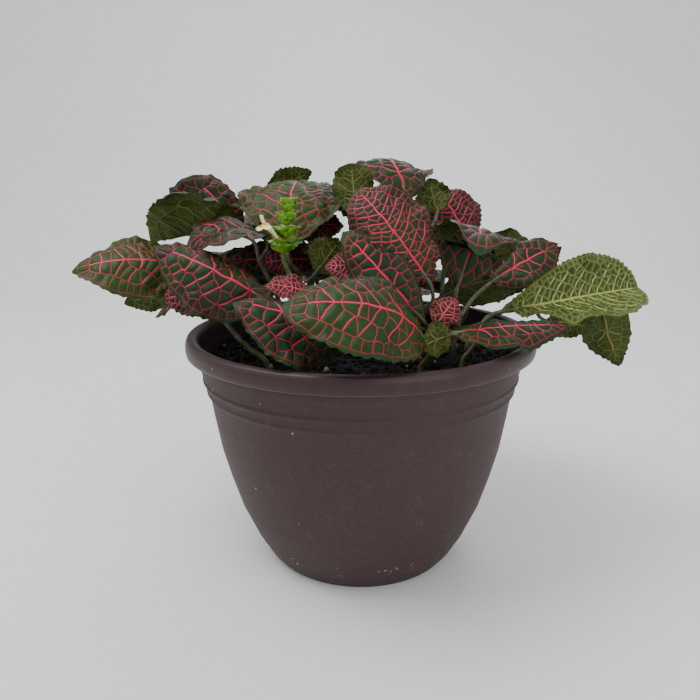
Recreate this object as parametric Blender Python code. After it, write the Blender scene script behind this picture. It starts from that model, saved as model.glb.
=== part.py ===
"""A nerve plant (Fittonia) in its plastic nursery pot.

Lengths below are millimetres and angles are degrees; meshes are written in metres.
The origin is on the pot's axis at the level of the pot's flat underside, +Z is up,
and the plant's open side, with the flower spike, faces -Y.
"""

import math
import random
from collections import namedtuple

import bpy
import numpy as np
from mathutils.kdtree import KDTree

MM = 0.001

# ---- driving dimensions ------------------------------------------------------------
POT_HEIGHT = 115.6
POT_SEGMENTS = 32
RIM_RADIUS = 84.9
LIP_Z = 107.4
NOTCH_AZIMUTHS = (-15.0, 165.0)
NOTCH_WIDTH = 9.0
NOTCH_RADII = (82.5, 90.0)
NOTCH_Z = 106.0
FLOOR_Z = 2.6
DRAIN_RADIUS = 4.0
DRAIN_CIRCLE = 29.0
DRAIN_COUNT = 4
GAP = 0.3

SOIL_EDGE_Z = 102.0
SOIL_DOME = 2.5
SOIL_RADIUS = 75.9
STEM_ROOT_DEPTH = 13.0
STEM_RADIUS = 1.7
STALK_RADII = (1.1, 0.95, 0.8, 0.3)
HOLE_CLEARANCE = 0.4

BLADE_THICKNESS = 0.7
BLADE_ROWS = 8
SMALL_BLADE_ROWS = 6
SMALL_BLADE_HALF = 12.5
CURLED = 18
TOOTH_DEPTH = 0.09
LEAST_HALF_WIDTH = 0.9

# ---- the shoots that the rule grows -------------------------------------------------
SEED = 14
CLEAR_OF_LEAVES = 4.6
CLEAR_OF_STEMS = 3.4
TRIES = 200
LEAST_LEAVES = 2
OPEN_SIDE_Y = (-30.0, 0.0)
OPEN_SIDE_X = 40.0
LEAF_TURNS = (0, 62, -62, 118, -118, 180)
# For each tier: how many shoots, first azimuth and step round the pot (0 is +X, 90 is +Y),
# root radius, stem top's radius and height, leaf length, and leaf tilt.
Tier = namedtuple("Tier", "count first step root top height length dip")
TIERS = [
    Tier(3, 70, 45, 18, 26, 162, 52, 12),
    Tier(4, 25, 43, 40, 50, 145, 56, 0),
    Tier(6, 6, 33, 58, 70, 127, 54, -6),
    Tier(5, 170, 50, 26, 30, 128, 40, 16),
]

# ---- the flower spike ---------------------------------------------------------------
SPIKE_STEM_RADIUS = 1.2
SPIKE_STEM_TOP_RADIUS = 1.0
SPIKE_CORE_RADII = (1.3, 0.9)
SPIKE_PATH = [(-19, -6), (-25, -17, 127), (-34.5, -26, 153)]
SPIKE_FOOT = (-34.5, -26, 155)
SPIKE_TOP = (-31.5, -24, 174)
BRACT_TIERS = 4
BRACT_ROWS = 2
FLOWER_AZIMUTH = 238
FLOWER_MOUTH = (-40, -38, 168)

# ---- the pot's section, radius and height -------------------------------------------
POT_INSIDE = [
    (46.0, FLOOR_Z), (56.2, 20.0), (64.7, 45.0), (71.3, 77.0), (74.4, 95.0), (77.6, 106.0),
    (78.6, 112.6),
]
POT_RIM = [
    (79.7, 114.7), (81.9, POT_HEIGHT), (83.9, 114.7), (84.8, 112.6), (RIM_RADIUS, 109.4),
    (84.5, LIP_Z), (83.2, LIP_Z), (82.9, 111.8), (80.2, 111.8),
]
POT_OUTSIDE = [
    (79.3, 103.5), (77.2, 95.8), (77.9, 94.6), (76.3, 92.8), (75.8, 90.2), (76.3, 89.0),
    (74.6, 87.2), (73.2, 77.0), (70.4, 60.0), (66.6, 45.0), (62.1, 30.0), (55.2, 14.0),
    (50.1, 5.0), (46.2, 0.0),
]

# ---- leaves and stems ----------------------------------------------------------------
# A leaf runs from base to tip. face is the azimuth and elevation its upper side looks
# to, azimuth 0 being -Y and 90 being +X. half is half its width, arch lifts its midrib,
# fold and curl bend its left and right halves up, and shape rounds its two ends.
Leaf = namedtuple(
    "Leaf",
    "base tip face half arch fold curl shape wave",
    defaults=(4, (0, 0), (-8, -8), (0.75, 0.9), 1.0),
)
Shoot = namedtuple("Shoot", "name path leaves")

FRONT_SHOOTS = [
    Shoot("shoot_left", [(-43, -30), (-58, -22, 117), (-72, -8, 131)], [
        Leaf((-84, 2, 144), (-134, -14, 146), (-5, 48), 20, 8, (-8, -8), (-25, -10), (0.55, 0.8)),
        Leaf((-92, 8, 133), (-118, 6, 127), (180, 20), 9, 2),
        Leaf((-66, -12, 136), (-92, -18, 133), (-10, 30), 12, 3),
    ]),
    Shoot("shoot_left_back", [(-34, 8), (-42, 10, 130), (-50, 10, 148)], [
        Leaf((-58, 17, 159), (-106, 22, 155), (0, 78), 31, 3, (62, 62), (-10, -10), (0.6, 0.7)),
        Leaf((-46, 2, 159), (-81, -12, 155), (0, 58), 21, 9, (25, 0), (-10, -30)),
    ]),
    Shoot("shoot_front_left", [(-20, -26), (-28, -30, 120)], [
        Leaf((-38, -34, 133), (-91, -28, 159), (-14, 38), 21, 7, (-5, -40), (-10, -30)),
        Leaf((-21, -46, 140), (-40, -52, 145), (0, 50), 7, 2),
        Leaf((-8, -54, 122), (-51, -64, 140), (-5, 45), 22, 6, (0, -30), (-10, -35)),
    ]),
    Shoot("shoot_hero", [(26, -40), (30, -46, 115)], [
        Leaf((26, -58, 121), (-30, -80, 141), (5, 42), 21, 17, (0, -10), (-15, -35), (0.7, 0.6)),
        Leaf((37, -52, 124), (91, -38, 124), (5, 66), 14, 2, (-22, 0)),
        Leaf((37, -56, 125), (24, -62, 121), (180, 10), 8, 1),
        Leaf((31, -48, 127), (40, -44, 138), (-10, 20), 7, 1),
    ]),
    Shoot("shoot_centre", [(14, -24), (22, -30, 123)], [
        Leaf((30, -38, 142), (-2, -22, 182), (-25, 45), 18, 8, (0, 0), (-30, -25), (0.8, 0.7)),
        Leaf((27, -44, 127), (-8, -34, 165), (-30, 40), 12, 5, (0, 0), (-8, -8), (0.9, 0.8)),
        Leaf((5, -30, 147), (-16, -34, 150), (0, 40), 9, 3),
    ]),
    Shoot("shoot_top", [(12, 4), (12, 2, 135), (12, 2, 161)], [
        Leaf((21, -6, 177), (8, 34, 193), (30, 75), 19, 10, (0, 0), (-30, -30), (0.8, 0.7)),
        Leaf((-2, -4, 169), (-4, 2, 194), (180, 5), 10, 2, (0, 0), (-8, -8), (0.8, 0.5)),
        Leaf((38, 9, 171), (34, 13, 187), (180, 10), 9, 2),
    ]),
    Shoot("shoot_top_left", [(-12, 10), (-20, 4, 130), (-28, 2, 141)], [
        Leaf((-35, -4, 155), (-32, 60, 183), (0, 80), 28, 14, (0, 0), (-25, -25), (0.8, 0.7)),
        Leaf((-20, -20, 146), (-9, -12, 160), (180, 10), 10, 1),
    ]),
    Shoot("shoot_right", [(44, -14), (47, -13, 123)], [
        Leaf((45, -14, 136), (48, -46, 156), (50, 70), 19, 22),
        Leaf((63, -4, 138), (98, 4, 155), (0, 45), 14, 3),
    ]),
    Shoot("shoot_right_back", [(44, 14), (50, 14, 133), (54, 12, 145)], [
        Leaf((56, 14, 155), (39, 28, 182), (-20, 45), 14, 4),
        Leaf((73, 10, 147), (75, 14, 163), (180, 10), 14, 2),
    ]),
    Shoot("shoot_far_right", [(46, -30), (54, -24, 115)], [
        Leaf((63, -18, 126), (135, -2, 135), (180, -15), 20, -6, (-50, 5), (-8, -8), (1.1, 0.55)),
    ]),
    Shoot("shoot_low_right", [(54, 2), (66, 7, 119), (88, 8, 125)], [
        Leaf((94, 6, 117), (117, 4, 114), (180, 0), 8, 2),
        Leaf((122, 8, 124), (132, 2, 94), (180, 5), 13, 4, (4, 4), (0, 0), (0.6, 1.05)),
    ]),
    Shoot("shoot_inner_right", [(30, 20), (33, 24, 120)], [
        Leaf((45, 28, 126), (90, 36, 136), (0, 48), 15, 4),
        Leaf((24, 26, 130), (-4, 34, 150), (0, 40), 14, 3),
    ]),
    Shoot("shoot_inner_left", [(-26, 26), (-30, 30, 120)], [
        Leaf((-40, 34, 131), (-80, 38, 146), (0, 45), 15, 4),
        Leaf((-20, 20, 124), (4, 14, 126), (0, 50), 11, 2),
    ]),
    Shoot("shoot_back_top", [(-12, 40), (-26, 48, 137), (-38, 56, 161)], [
        Leaf((-52, 58, 178), (-26, 66, 191), (180, 20), 9, 2),
    ]),
]
# Leaves deep inside the plant, set where the grown shoots leave them room.
INNER_LEAVES = {
    "shoot_inner_left": [Leaf((-32, 37, 142), (-69, 26, 145), (-13, 28), 12, 4)],
    "shoot_top_left": [Leaf((-22, 22, 146), (-52, 16, 145), (-11, 32), 10, 3)],
    "shoot_back_top": [
        Leaf((-25, 52, 138), (-64, 48, 147), (16, 49), 12, 2),
        Leaf((-37, 52, 159), (-8, 58, 161), (-5, 26), 10, 5),
    ],
}


# ---- surfaces of leaves ---------------------------------------------------------------
def unit(v):
    """v scaled to length 1 along its last axis."""
    return v / np.maximum(np.linalg.norm(v, axis=-1, keepdims=True), 1e-9)


def facing(azimuth, elevation):
    """The direction that an upper side looks to."""
    a = math.radians(azimuth)
    e = math.radians(elevation)
    return np.array([math.cos(e) * math.sin(a), -math.cos(e) * math.cos(a), math.sin(e)])


def outline(t, shape):
    """A blade's half width along t, 0 at the base and 1 at the tip, as a share of half."""
    a, b = shape
    widest = a / (a + b)
    return (np.clip(t, 0, 1) / widest) ** a * (np.clip(1 - t, 0, 1) / (1 - widest)) ** b


def bent(distance, fold, curl, half):
    """How far a curling half blade goes sideways and up, at a distance from the midrib."""
    start = np.radians(fold)
    rate = np.where(np.abs(curl) < 0.5, 0.5, curl) * math.pi / 180 / half
    end = start + rate * distance
    return (np.sin(end) - np.sin(start)) / rate, (np.cos(start) - np.cos(end)) / rate


def midrib(leaf, t):
    """Points on the leaf's midrib."""
    base = np.array(leaf.base, float)
    chord = np.array(leaf.tip, float) - base
    along = unit(chord)
    look = facing(*leaf.face)
    up = unit(look - along * (look @ along))
    return base + chord * t[..., None] + up * (leaf.arch * 4 * t * (1 - t))[..., None]


def blade(leaf, t, q):
    """Points on the leaf's surface: t runs along it and q from -1 to 1 across it."""
    t, q = np.broadcast_arrays(np.asarray(t, float), np.asarray(q, float))
    step = 1e-3
    along = unit(midrib(leaf, np.minimum(t + step, 1)) - midrib(leaf, np.maximum(t - step, 0)))
    look = facing(*leaf.face)
    up = unit(look - along * (along @ look)[..., None])
    side = np.cross(along, up)
    spread = np.maximum(leaf.half * outline(t, leaf.shape), LEAST_HALF_WIDTH)
    fold = np.where(q < 0, leaf.fold[0], leaf.fold[1])
    curl = np.where(q < 0, leaf.curl[0], leaf.curl[1])
    out, lift = bent(np.abs(q) * spread, fold, curl, leaf.half)
    phase = np.where(q < 0, 0.0, 1.7)
    ripple = leaf.wave * q * q * np.sin(5 * math.pi * t + phase) * spread / leaf.half
    return midrib(leaf, t) + side * (np.sign(q) * out)[..., None] + up * (lift + ripple)[..., None]


def blade_normal(leaf, t, q):
    """The upper side's direction at points of the blade."""
    d = 0.02
    dt = blade(leaf, np.clip(t + d, 0, 1), q) - blade(leaf, np.clip(t - d, 0, 1), q)
    dq = blade(leaf, t, np.clip(q + 6 * d, -1, 1)) - blade(leaf, t, np.clip(q - 6 * d, -1, 1))
    return unit(np.cross(dq, dt))


# ---- meshes ---------------------------------------------------------------------------
def new_object(name, verts, faces, material=None):
    """An object from points in millimetres."""
    mesh = bpy.data.meshes.new(name)
    mesh.from_pydata([tuple(np.asarray(v) * MM) for v in verts], [], faces)
    mesh.update()
    if material:
        mesh.materials.append(material)
    obj = bpy.data.objects.new(name, mesh)
    bpy.context.scene.collection.objects.link(obj)
    return obj


def material(name, color, roughness, metallic=0.0):
    """A Principled material."""
    mat = bpy.data.materials.new(name)
    mat.use_nodes = True
    shader = mat.node_tree.nodes["Principled BSDF"]
    shader.inputs["Base Color"].default_value = (*color, 1)
    shader.inputs["Roughness"].default_value = roughness
    shader.inputs["Metallic"].default_value = metallic
    return mat


def leaf_solid(leaf, rows=None):
    """Points and triangles of one closed blade with a toothed edge."""
    if rows is None:
        rows = SMALL_BLADE_ROWS if leaf.half < SMALL_BLADE_HALF else BLADE_ROWS
    curled = rows == BLADE_ROWS and max(abs(c) for c in leaf.curl) > CURLED
    across = np.array([-1, -0.5, 0, 0.5, 1] if curled else [-1, 0, 1])
    t = np.linspace(0, 1, rows + 1)[:, None] * np.ones(len(across))
    tooth = 1 - TOOTH_DEPTH * (np.arange(rows + 1) % 2 == 0)
    q = across[None, :] * tooth[:, None]
    points = blade(leaf, t, q)
    normal = blade_normal(leaf, t, q)
    top = points + normal * BLADE_THICKNESS / 2
    rib = np.where(np.abs(q) < 0.01, 2.0, 1.0)[..., None]
    bottom = points - normal * rib * BLADE_THICKNESS / 2
    verts = list(top.reshape(-1, 3)) + list(bottom.reshape(-1, 3))
    n = len(across)
    under = (rows + 1) * n
    faces = []
    for i in range(rows):
        for j in range(n - 1):
            a = i * n + j
            b, c, d = a + 1, a + n + 1, a + n
            left = j < (n - 1) // 2
            halves = ((a, b, c), (a, c, d)) if left else ((a, b, d), (b, c, d))
            for x, y, z in halves:
                faces.append((x, y, z))
                faces.append((under + z, under + y, under + x))
    loop = list(range(n))
    loop += [i * n + n - 1 for i in range(1, rows + 1)]
    loop += [rows * n + j for j in range(n - 2, -1, -1)]
    loop += [i * n for i in range(rows - 1, 0, -1)]
    for a, b in zip(loop, loop[1:] + loop[:1]):
        faces.append((b, a, under + a))
        faces.append((b, under + a, under + b))
    return verts, faces


def tube_solid(points, radii, sides):
    """Points and faces of a closed tube along points."""
    points = np.array(points, float)
    along = unit(np.gradient(points, axis=0))
    side = unit(np.cross(along[0], [0.31, 0.95, 0.05]))
    verts = []
    for p, d, r in zip(points, along, radii):
        side = unit(side - d * (side @ d))
        other = np.cross(d, side)
        for k in range(sides):
            a = 2 * math.pi * k / sides
            verts.append(p + r * (math.cos(a) * side + math.sin(a) * other))
    faces = [tuple(range(sides))[::-1]]
    for i in range(len(points) - 1):
        for k in range(sides):
            a = i * sides + k
            b = i * sides + (k + 1) % sides
            faces.append((a, b, b + sides))
            faces.append((a, b + sides, a + sides))
    last = (len(points) - 1) * sides
    faces.append(tuple(range(last, last + sides)))
    return verts, faces


def smooth_path(points, steps):
    """A Catmull-Rom curve through points."""
    points = np.array(points, float)
    ends = [2 * points[0] - points[1], *points, 2 * points[-1] - points[-2]]
    curve = []
    for a, b, c, d in zip(ends, ends[1:], ends[2:], ends[3:]):
        for u in np.arange(steps) / steps:
            curve.append(0.5 * (2 * b + (c - a) * u + (2 * a - 5 * b + 4 * c - d) * u ** 2
                                + (3 * b - a - 3 * c + d) * u ** 3))
    curve.append(points[-1])
    return np.array(curve)


def soil_height(x, y):
    """The soil's surface, highest on the pot's axis."""
    return SOIL_EDGE_Z + SOIL_DOME * (1 - (x * x + y * y) / SOIL_RADIUS ** 2)


def stem_points(shoot):
    """The shoot's stem: straight up out of the soil, then along its path."""
    x, y = shoot.path[0]
    ground = soil_height(x, y)
    bends = [(x, y, ground + 2), *shoot.path[1:]]
    return [np.array((x, y, ground - STEM_ROOT_DEPTH)), *smooth_path(bends, 2)]


def petiole_points(leaf, stem):
    """The leaf's stalk, from the stem into the start of the midrib."""
    start = stem[-1]
    base, rib = midrib(leaf, np.array([0.0, 0.12]))
    reach = np.linalg.norm(base - start)
    knee = base - unit(rib - base) * 0.45 * reach
    u = np.linspace(0, 1, 3)[:, None]
    stalk = (1 - u) ** 2 * start + 2 * u * (1 - u) * knee + u ** 2 * base
    return [*stalk, rib]


def fuse(name, solids, mat, solver="MANIFOLD"):
    """One object from overlapping closed solids, by one Boolean union on a collection."""
    body = new_object(name, *solids[0], mat)
    group = bpy.data.collections.new(name + "_pieces")
    for verts, faces in solids[1:]:
        piece = new_object(name + "_piece", verts, faces)
        bpy.context.scene.collection.objects.unlink(piece)
        group.objects.link(piece)
    union = body.modifiers.new("union", "BOOLEAN")
    union.operation = "UNION"
    union.solver = solver
    union.operand_type = "COLLECTION"
    union.collection = group
    graph = bpy.context.evaluated_depsgraph_get()
    mesh = bpy.data.meshes.new_from_object(body.evaluated_get(graph))
    body.modifiers.remove(union)
    body.data = mesh
    for piece in list(group.objects):
        bpy.data.objects.remove(piece)
    bpy.data.collections.remove(group)
    return body


def make_shoot(shoot, mat, rows=None):
    """A leafy stem: its stem, its leaf stalks and its leaves, fused."""
    stem = stem_points(shoot)
    taper = np.linspace(STEM_RADIUS, 0.75 * STEM_RADIUS, len(stem))
    solids = [tube_solid(stem, taper, 5)]
    for leaf in shoot.leaves:
        stalk = petiole_points(leaf, stem)
        solids.append(tube_solid(stalk, STALK_RADII, 4))
        solids.append(leaf_solid(leaf, rows))
    return fuse(shoot.name, solids, mat)


# ---- the rule that grows the other shoots ------------------------------------------------
def leaf_samples(leaf):
    """Points spread over the blade."""
    t, q = np.meshgrid(np.linspace(0.06, 1, 15), np.linspace(-1, 1, 9))
    return blade(leaf, t, q).reshape(-1, 3)


def shoot_samples(shoot):
    """Points along the stem and its leaf stalks."""
    stem = stem_points(shoot)
    lines = [stem] + [petiole_points(leaf, stem) for leaf in shoot.leaves]
    points = []
    for line in lines:
        line = np.array(line)
        for u in np.linspace(0, 1, 5)[:-1]:
            points.extend(line[:-1] * (1 - u) + line[1:] * u)
    return np.array(points)


def tree_of(groups):
    """A search tree over all the points of the groups."""
    points = np.concatenate(groups)
    tree = KDTree(len(points))
    for i, p in enumerate(points):
        tree.insert(p, i)
    tree.balance()
    return tree


def clear(points, tree, least):
    """Whether every one of points is at least that far from the tree's points."""
    return all(tree.find(p)[2] >= least for p in points)


def out_of_room(points):
    """Whether points come too near the rim or the soil, or into the plant's open side."""
    r = np.hypot(points[:, 0], points[:, 1])
    near_rim = (r > 74) & (r < 90) & (points[:, 2] < POT_HEIGHT + 3)
    low = points[:, 2] < np.where(r < 80, SOIL_EDGE_Z + 5, 93)
    front = points[:, 1] < np.where(np.abs(points[:, 0]) < OPEN_SIDE_X, *OPEN_SIDE_Y)
    return bool((near_rim | low | front).any())


def draw_leaf(rng, top, azimuth, tier):
    """A leaf that the rule might set at the stem's top, its tip towards azimuth."""
    a = math.radians(azimuth + rng.uniform(-16, 16))
    dip = math.radians(tier.dip + rng.uniform(-14, 10))
    length = tier.length * rng.uniform(0.82, 1.12)
    out = np.array([math.cos(a), math.sin(a), 0.0])
    base = top + out * rng.uniform(7, 16) + np.array([0, 0, rng.uniform(-2, 7)])
    tip = base + length * (out * math.cos(dip) + np.array([0, 0, math.sin(dip)]))
    face = (math.degrees(a) + 90 + rng.uniform(-25, 25), rng.uniform(58, 84))
    curl = (rng.uniform(-34, -8), rng.uniform(-34, -8))
    return Leaf(base, tip, face, length * rng.uniform(0.30, 0.35), length * rng.uniform(0.1, 0.18),
                (rng.uniform(-6, 14),) * 2, curl, (0.7, 0.85))


def grown_shoots(front):
    """Shoots at the sides and the back, every leaf and stem clear of those before it."""
    rng = random.Random(SEED)
    leaves = [leaf_samples(leaf) for shoot in front for leaf in shoot.leaves]
    leaves.append(np.array([spike_axis(u) + d for u in (0, 0.5, 1) for d in 6 * np.eye(3)]))
    stems = [shoot_samples(shoot) for shoot in front]
    stems.append(shoot_samples(Shoot("", SPIKE_PATH, [])))
    shoots = []
    for number, tier in enumerate(TIERS):
        for k in range(tier.count):
            azimuth = tier.first + tier.step * k + rng.uniform(-4, 4)
            grow_shoot(f"shoot_back_{number}_{k}", azimuth, tier, rng, leaves, stems, shoots)
    return shoots


def all_shoots():
    """The shoots in front with their inner leaves, then the grown ones."""
    grown = grown_shoots(FRONT_SHOOTS)
    front = [shoot._replace(leaves=shoot.leaves + INNER_LEAVES.get(shoot.name, []))
             for shoot in FRONT_SHOOTS]
    return front, grown


def grow_shoot(name, azimuth, tier, rng, leaves, stems, shoots):
    """Add one grown shoot if its stem and enough leaves find room."""
    blades = tree_of(leaves)
    stalks = tree_of(stems)
    for _ in range(TRIES):
        a = math.radians(azimuth + rng.uniform(-9, 9))
        out = np.array([math.cos(a), math.sin(a), 0.0])
        root = out * (tier.root + rng.uniform(-4, 4))
        top = out * (tier.top + rng.uniform(-4, 4)) + np.array([0, 0, tier.height + rng.uniform(-4, 4)])
        middle = (root + top) / 2 + out * 2
        middle[2] = (SOIL_EDGE_Z + top[2]) / 2
        shoot = Shoot(name, [tuple(root[:2]), tuple(middle), tuple(top)], [])
        stem = shoot_samples(shoot)
        if clear(stem, blades, CLEAR_OF_STEMS) and clear(stem, stalks, 2 * CLEAR_OF_STEMS):
            break
    else:
        return
    for turn in LEAF_TURNS:
        for _ in range(TRIES):
            leaf = draw_leaf(rng, top, math.degrees(a) + turn, tier)
            points = leaf_samples(leaf)
            stalk = shoot_samples(shoot._replace(leaves=[leaf]))[len(stem):]
            if out_of_room(points):
                continue
            if clear(points, blades, CLEAR_OF_LEAVES) and clear(points, stalks, CLEAR_OF_STEMS) \
                    and clear(stalk, blades, CLEAR_OF_STEMS) and clear(stalk, stalks, CLEAR_OF_STEMS):
                shoot.leaves.append(leaf)
                blades = tree_of(leaves + [leaf_samples(leaf) for leaf in shoot.leaves])
                break
    if len(shoot.leaves) >= LEAST_LEAVES:
        leaves.extend(leaf_samples(leaf) for leaf in shoot.leaves)
        stems.append(shoot_samples(shoot))
        shoots.append(shoot)


# ---- the flower spike ----------------------------------------------------------------------
def spike_axis(u):
    """A point on the bracts' axis, u from 0 at its foot to 1 at its top."""
    return (1 - u) * np.array(SPIKE_FOOT) + u * np.array(SPIKE_TOP)


def spike_bracts():
    """The bracts, in tiers of four that turn by an eighth, smaller towards the top."""
    bracts = []
    for tier in range(BRACT_TIERS):
        u = tier / (BRACT_TIERS - 1)
        for k in range(4):
            angle = 20 + 90 * k + 45 * (tier % 2)
            if tier < 2 and abs((angle - FLOWER_AZIMUTH + 180) % 360 - 180) < 46:
                continue
            a = math.radians(angle)
            out = np.array([math.cos(a), math.sin(a), 0])
            base = spike_axis(u) + out * 0.6
            rise = 0.55 + 0.9 * u
            tip = base + unit(out + np.array([0, 0, rise])) * (9.6 - 3.5 * u)
            face = (angle + 90 + 180, 40)
            bracts.append(Leaf(base, tip, face, 3.6 - 1.0 * u, -0.8, (8, 8), (10, 10), (0.7, 0.5), 0.2))
    return bracts


def make_spike(mat):
    """The flower spike: its stem and its green bracts, fused."""
    stem = stem_points(Shoot("", SPIKE_PATH, []))
    points = [*stem, spike_axis(0.5), spike_axis(0.97)]
    radii = [*np.linspace(SPIKE_STEM_RADIUS, SPIKE_STEM_TOP_RADIUS, len(stem)), *SPIKE_CORE_RADII]
    solids = [tube_solid(points, radii, 5)]
    solids += [leaf_solid(bract, BRACT_ROWS) for bract in spike_bracts()]
    return fuse("flower_spike", solids, mat)


def make_flower(mat):
    """The corolla: a thin curved tube with a lower lip of three lobes and a narrow upper lip."""
    foot = spike_axis(0.16)
    out = np.array([math.cos(math.radians(FLOWER_AZIMUTH)), math.sin(math.radians(FLOWER_AZIMUTH)), 0])
    start = foot + out * (1.3 + GAP)
    mouth = np.array(FLOWER_MOUTH)
    middle = (start + mouth) / 2 + np.array([0, 0, 1.2])
    solids = [tube_solid([start, middle, mouth], (0.7, 0.85, 1.3), 5)]
    side = np.array([-out[1], out[0], 0])
    for turn, length in ((-0.8, 4.6), (0, 5.4), (0.8, 4.6)):
        tip = mouth + unit(out + turn * side + np.array([0, 0, -0.35])) * length
        solids.append(leaf_solid(Leaf(mouth - out * 0.8, tip, (244 - 90, 75), 1.9, 0.7, (4, 4), (0, 0),
                                      (0.8, 0.4), 0), BRACT_ROWS))
    upper = mouth + unit(0.6 * out + np.array([0, 0, 0.9])) * 5.5
    solids.append(leaf_solid(Leaf(mouth - out * 0.4, upper, (-26, -10), 1.0, 0.8, (0, 0), (0, 0),
                                  (0.6, 0.6), 0), BRACT_ROWS))
    return fuse("flower_corolla", solids, mat)


# ---- the pot and the soil ---------------------------------------------------------------
def turned(name, section, mat):
    """A closed solid turned round the Z axis from a section whose ends are on the axis."""
    verts = [(0, 0, section[0][1]), (0, 0, section[-1][1])]
    rings = section[1:-1]
    n = POT_SEGMENTS
    for r, z in rings:
        for k in range(n):
            a = 2 * math.pi * k / n
            verts.append((r * math.cos(a), r * math.sin(a), z))
    faces = []
    for k in range(n):
        k1 = (k + 1) % n
        faces.append((0, 2 + k, 2 + k1))
        for i in range(len(rings) - 1):
            a, b = 2 + i * n + k, 2 + i * n + k1
            faces.append((a, a + n, b + n, b))
        last = 2 + (len(rings) - 1) * n
        faces.append((1, last + k1, last + k))
    obj = new_object(name, verts, faces, mat)
    obj.data.shade_smooth()
    obj.data.set_sharp_from_angle(angle=math.radians(35))
    return obj


def cut(obj, cutters):
    """Cut closed solids out of obj."""
    for k, (verts, faces) in enumerate(cutters):
        cutter = new_object(f"{obj.name}_cutter_{k}", verts, faces)
        cutter.hide_render = True
        cutter.display_type = "WIRE"
        boolean = obj.modifiers.new(f"cut_{k}", "BOOLEAN")
        boolean.operation = "DIFFERENCE"
        boolean.object = cutter


def make_pot(mat):
    """The pot: a bowl with a rolled rim, two hanger notches and drain holes."""
    section = [(0, FLOOR_Z), *POT_INSIDE, *POT_RIM, *POT_OUTSIDE, (0, 0)]
    pot = turned("pot", section, mat)
    cutters = []
    for k in range(DRAIN_COUNT):
        a = 2 * math.pi * (k + 0.5) / DRAIN_COUNT
        x, y = DRAIN_CIRCLE * math.cos(a), DRAIN_CIRCLE * math.sin(a)
        cutters.append(tube_solid([(x, y, -3), (x, y, 6)], (DRAIN_RADIUS,) * 2, 8))
    for azimuth in NOTCH_AZIMUTHS:
        a = math.radians(azimuth)
        out = np.array([math.cos(a), math.sin(a), 0])
        ends = [r * out + np.array([0, 0, NOTCH_Z]) for r in NOTCH_RADII]
        cutters.append(tube_solid(ends, (NOTCH_WIDTH / math.sqrt(2),) * 2, 4))
    cut(pot, cutters)
    return pot


def make_soil(shoots, mat):
    """The soil that fills the pot, with a plain hole for each stem."""
    section = [(0, FLOOR_Z + GAP)]
    section += [(r - 1.2 * GAP, z + GAP) for r, z in POT_INSIDE[:-2]]
    section.append((SOIL_RADIUS, SOIL_EDGE_Z))
    section.append((40.0, soil_height(40.0, 0)))
    section.append((0, soil_height(0, 0)))
    soil = turned("soil", section[::-1], mat)
    holes = []
    radius = (STEM_RADIUS + HOLE_CLEARANCE) / math.cos(math.pi / 5)
    for x, y in shoots:
        depth = soil_height(x, y) - STEM_ROOT_DEPTH - GAP
        holes.append(tube_solid([(x, y, depth), (x, y, POT_HEIGHT)], (radius,) * 2, 5))
    cut(soil, holes)
    return soil


def main():
    for obj in list(bpy.data.objects):
        bpy.data.objects.remove(obj)
    leaf_green = material("leaf_green", (0.035, 0.11, 0.045), 0.5)
    make_pot(material("pot_brown", (0.075, 0.045, 0.04), 0.55))
    front, grown = all_shoots()
    roots = [shoot.path[0] for shoot in front + grown] + [SPIKE_PATH[0]]
    make_soil(roots, material("soil_black", (0.02, 0.015, 0.012), 0.95))
    make_spike(material("bract_green", (0.16, 0.36, 0.06), 0.45))
    make_flower(material("corolla_cream", (0.9, 0.85, 0.55), 0.5))
    for shoot in front:
        make_shoot(shoot, leaf_green)
    for shoot in grown:
        make_shoot(shoot, leaf_green, SMALL_BLADE_ROWS)


main()
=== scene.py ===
"""A potted nerve plant (Fittonia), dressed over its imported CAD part.

Each leafy stem is one piece with fine quilted blades, whose net of veins is the edges of
a Voronoi diagram laid along the midrib and its side veins. Lengths are millimetres and
angles are degrees; meshes are written in metres.
"""

import math
import random
from collections import namedtuple

import bpy
import numpy as np
from mathutils import Matrix, Vector, noise
from mathutils.geometry import delaunay_2d_cdt
from mathutils.kdtree import KDTree


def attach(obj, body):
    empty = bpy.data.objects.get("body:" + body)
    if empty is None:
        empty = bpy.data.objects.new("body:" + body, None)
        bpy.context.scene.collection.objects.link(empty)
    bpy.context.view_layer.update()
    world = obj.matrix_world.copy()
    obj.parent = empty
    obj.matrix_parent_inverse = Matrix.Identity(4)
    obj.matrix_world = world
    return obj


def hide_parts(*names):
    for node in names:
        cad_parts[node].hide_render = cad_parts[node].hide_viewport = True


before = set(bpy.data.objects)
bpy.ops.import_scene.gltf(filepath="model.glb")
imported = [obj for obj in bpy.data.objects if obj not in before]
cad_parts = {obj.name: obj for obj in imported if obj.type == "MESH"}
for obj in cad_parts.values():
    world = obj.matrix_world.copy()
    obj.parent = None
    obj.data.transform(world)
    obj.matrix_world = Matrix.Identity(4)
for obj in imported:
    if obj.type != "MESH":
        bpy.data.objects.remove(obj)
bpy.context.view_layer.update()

MM = 0.001


# ---- driving dimensions ----
POT_HEIGHT = 115.6
RIM_RADIUS = 84.9
LIP_Z = 107.4
NOTCH_AZIMUTHS = (-15.0, 165.0)
NOTCH_WIDTH = 9.0
NOTCH_RADII = (82.5, 90.0)
NOTCH_Z = 106.0
FLOOR_Z = 2.6
DRAIN_RADIUS = 4.0
DRAIN_CIRCLE = 29.0
DRAIN_COUNT = 4
GAP = 0.3

SOIL_EDGE_Z = 102.0
SOIL_DOME = 2.5
SOIL_RADIUS = 75.9
STEM_ROOT_DEPTH = 13.0
STEM_RADIUS = 1.7
STALK_RADII = (1.1, 0.75)
STALK_END_RADII = (0.5, 0.15)

LEAST_HALF_WIDTH = 0.9

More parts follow.
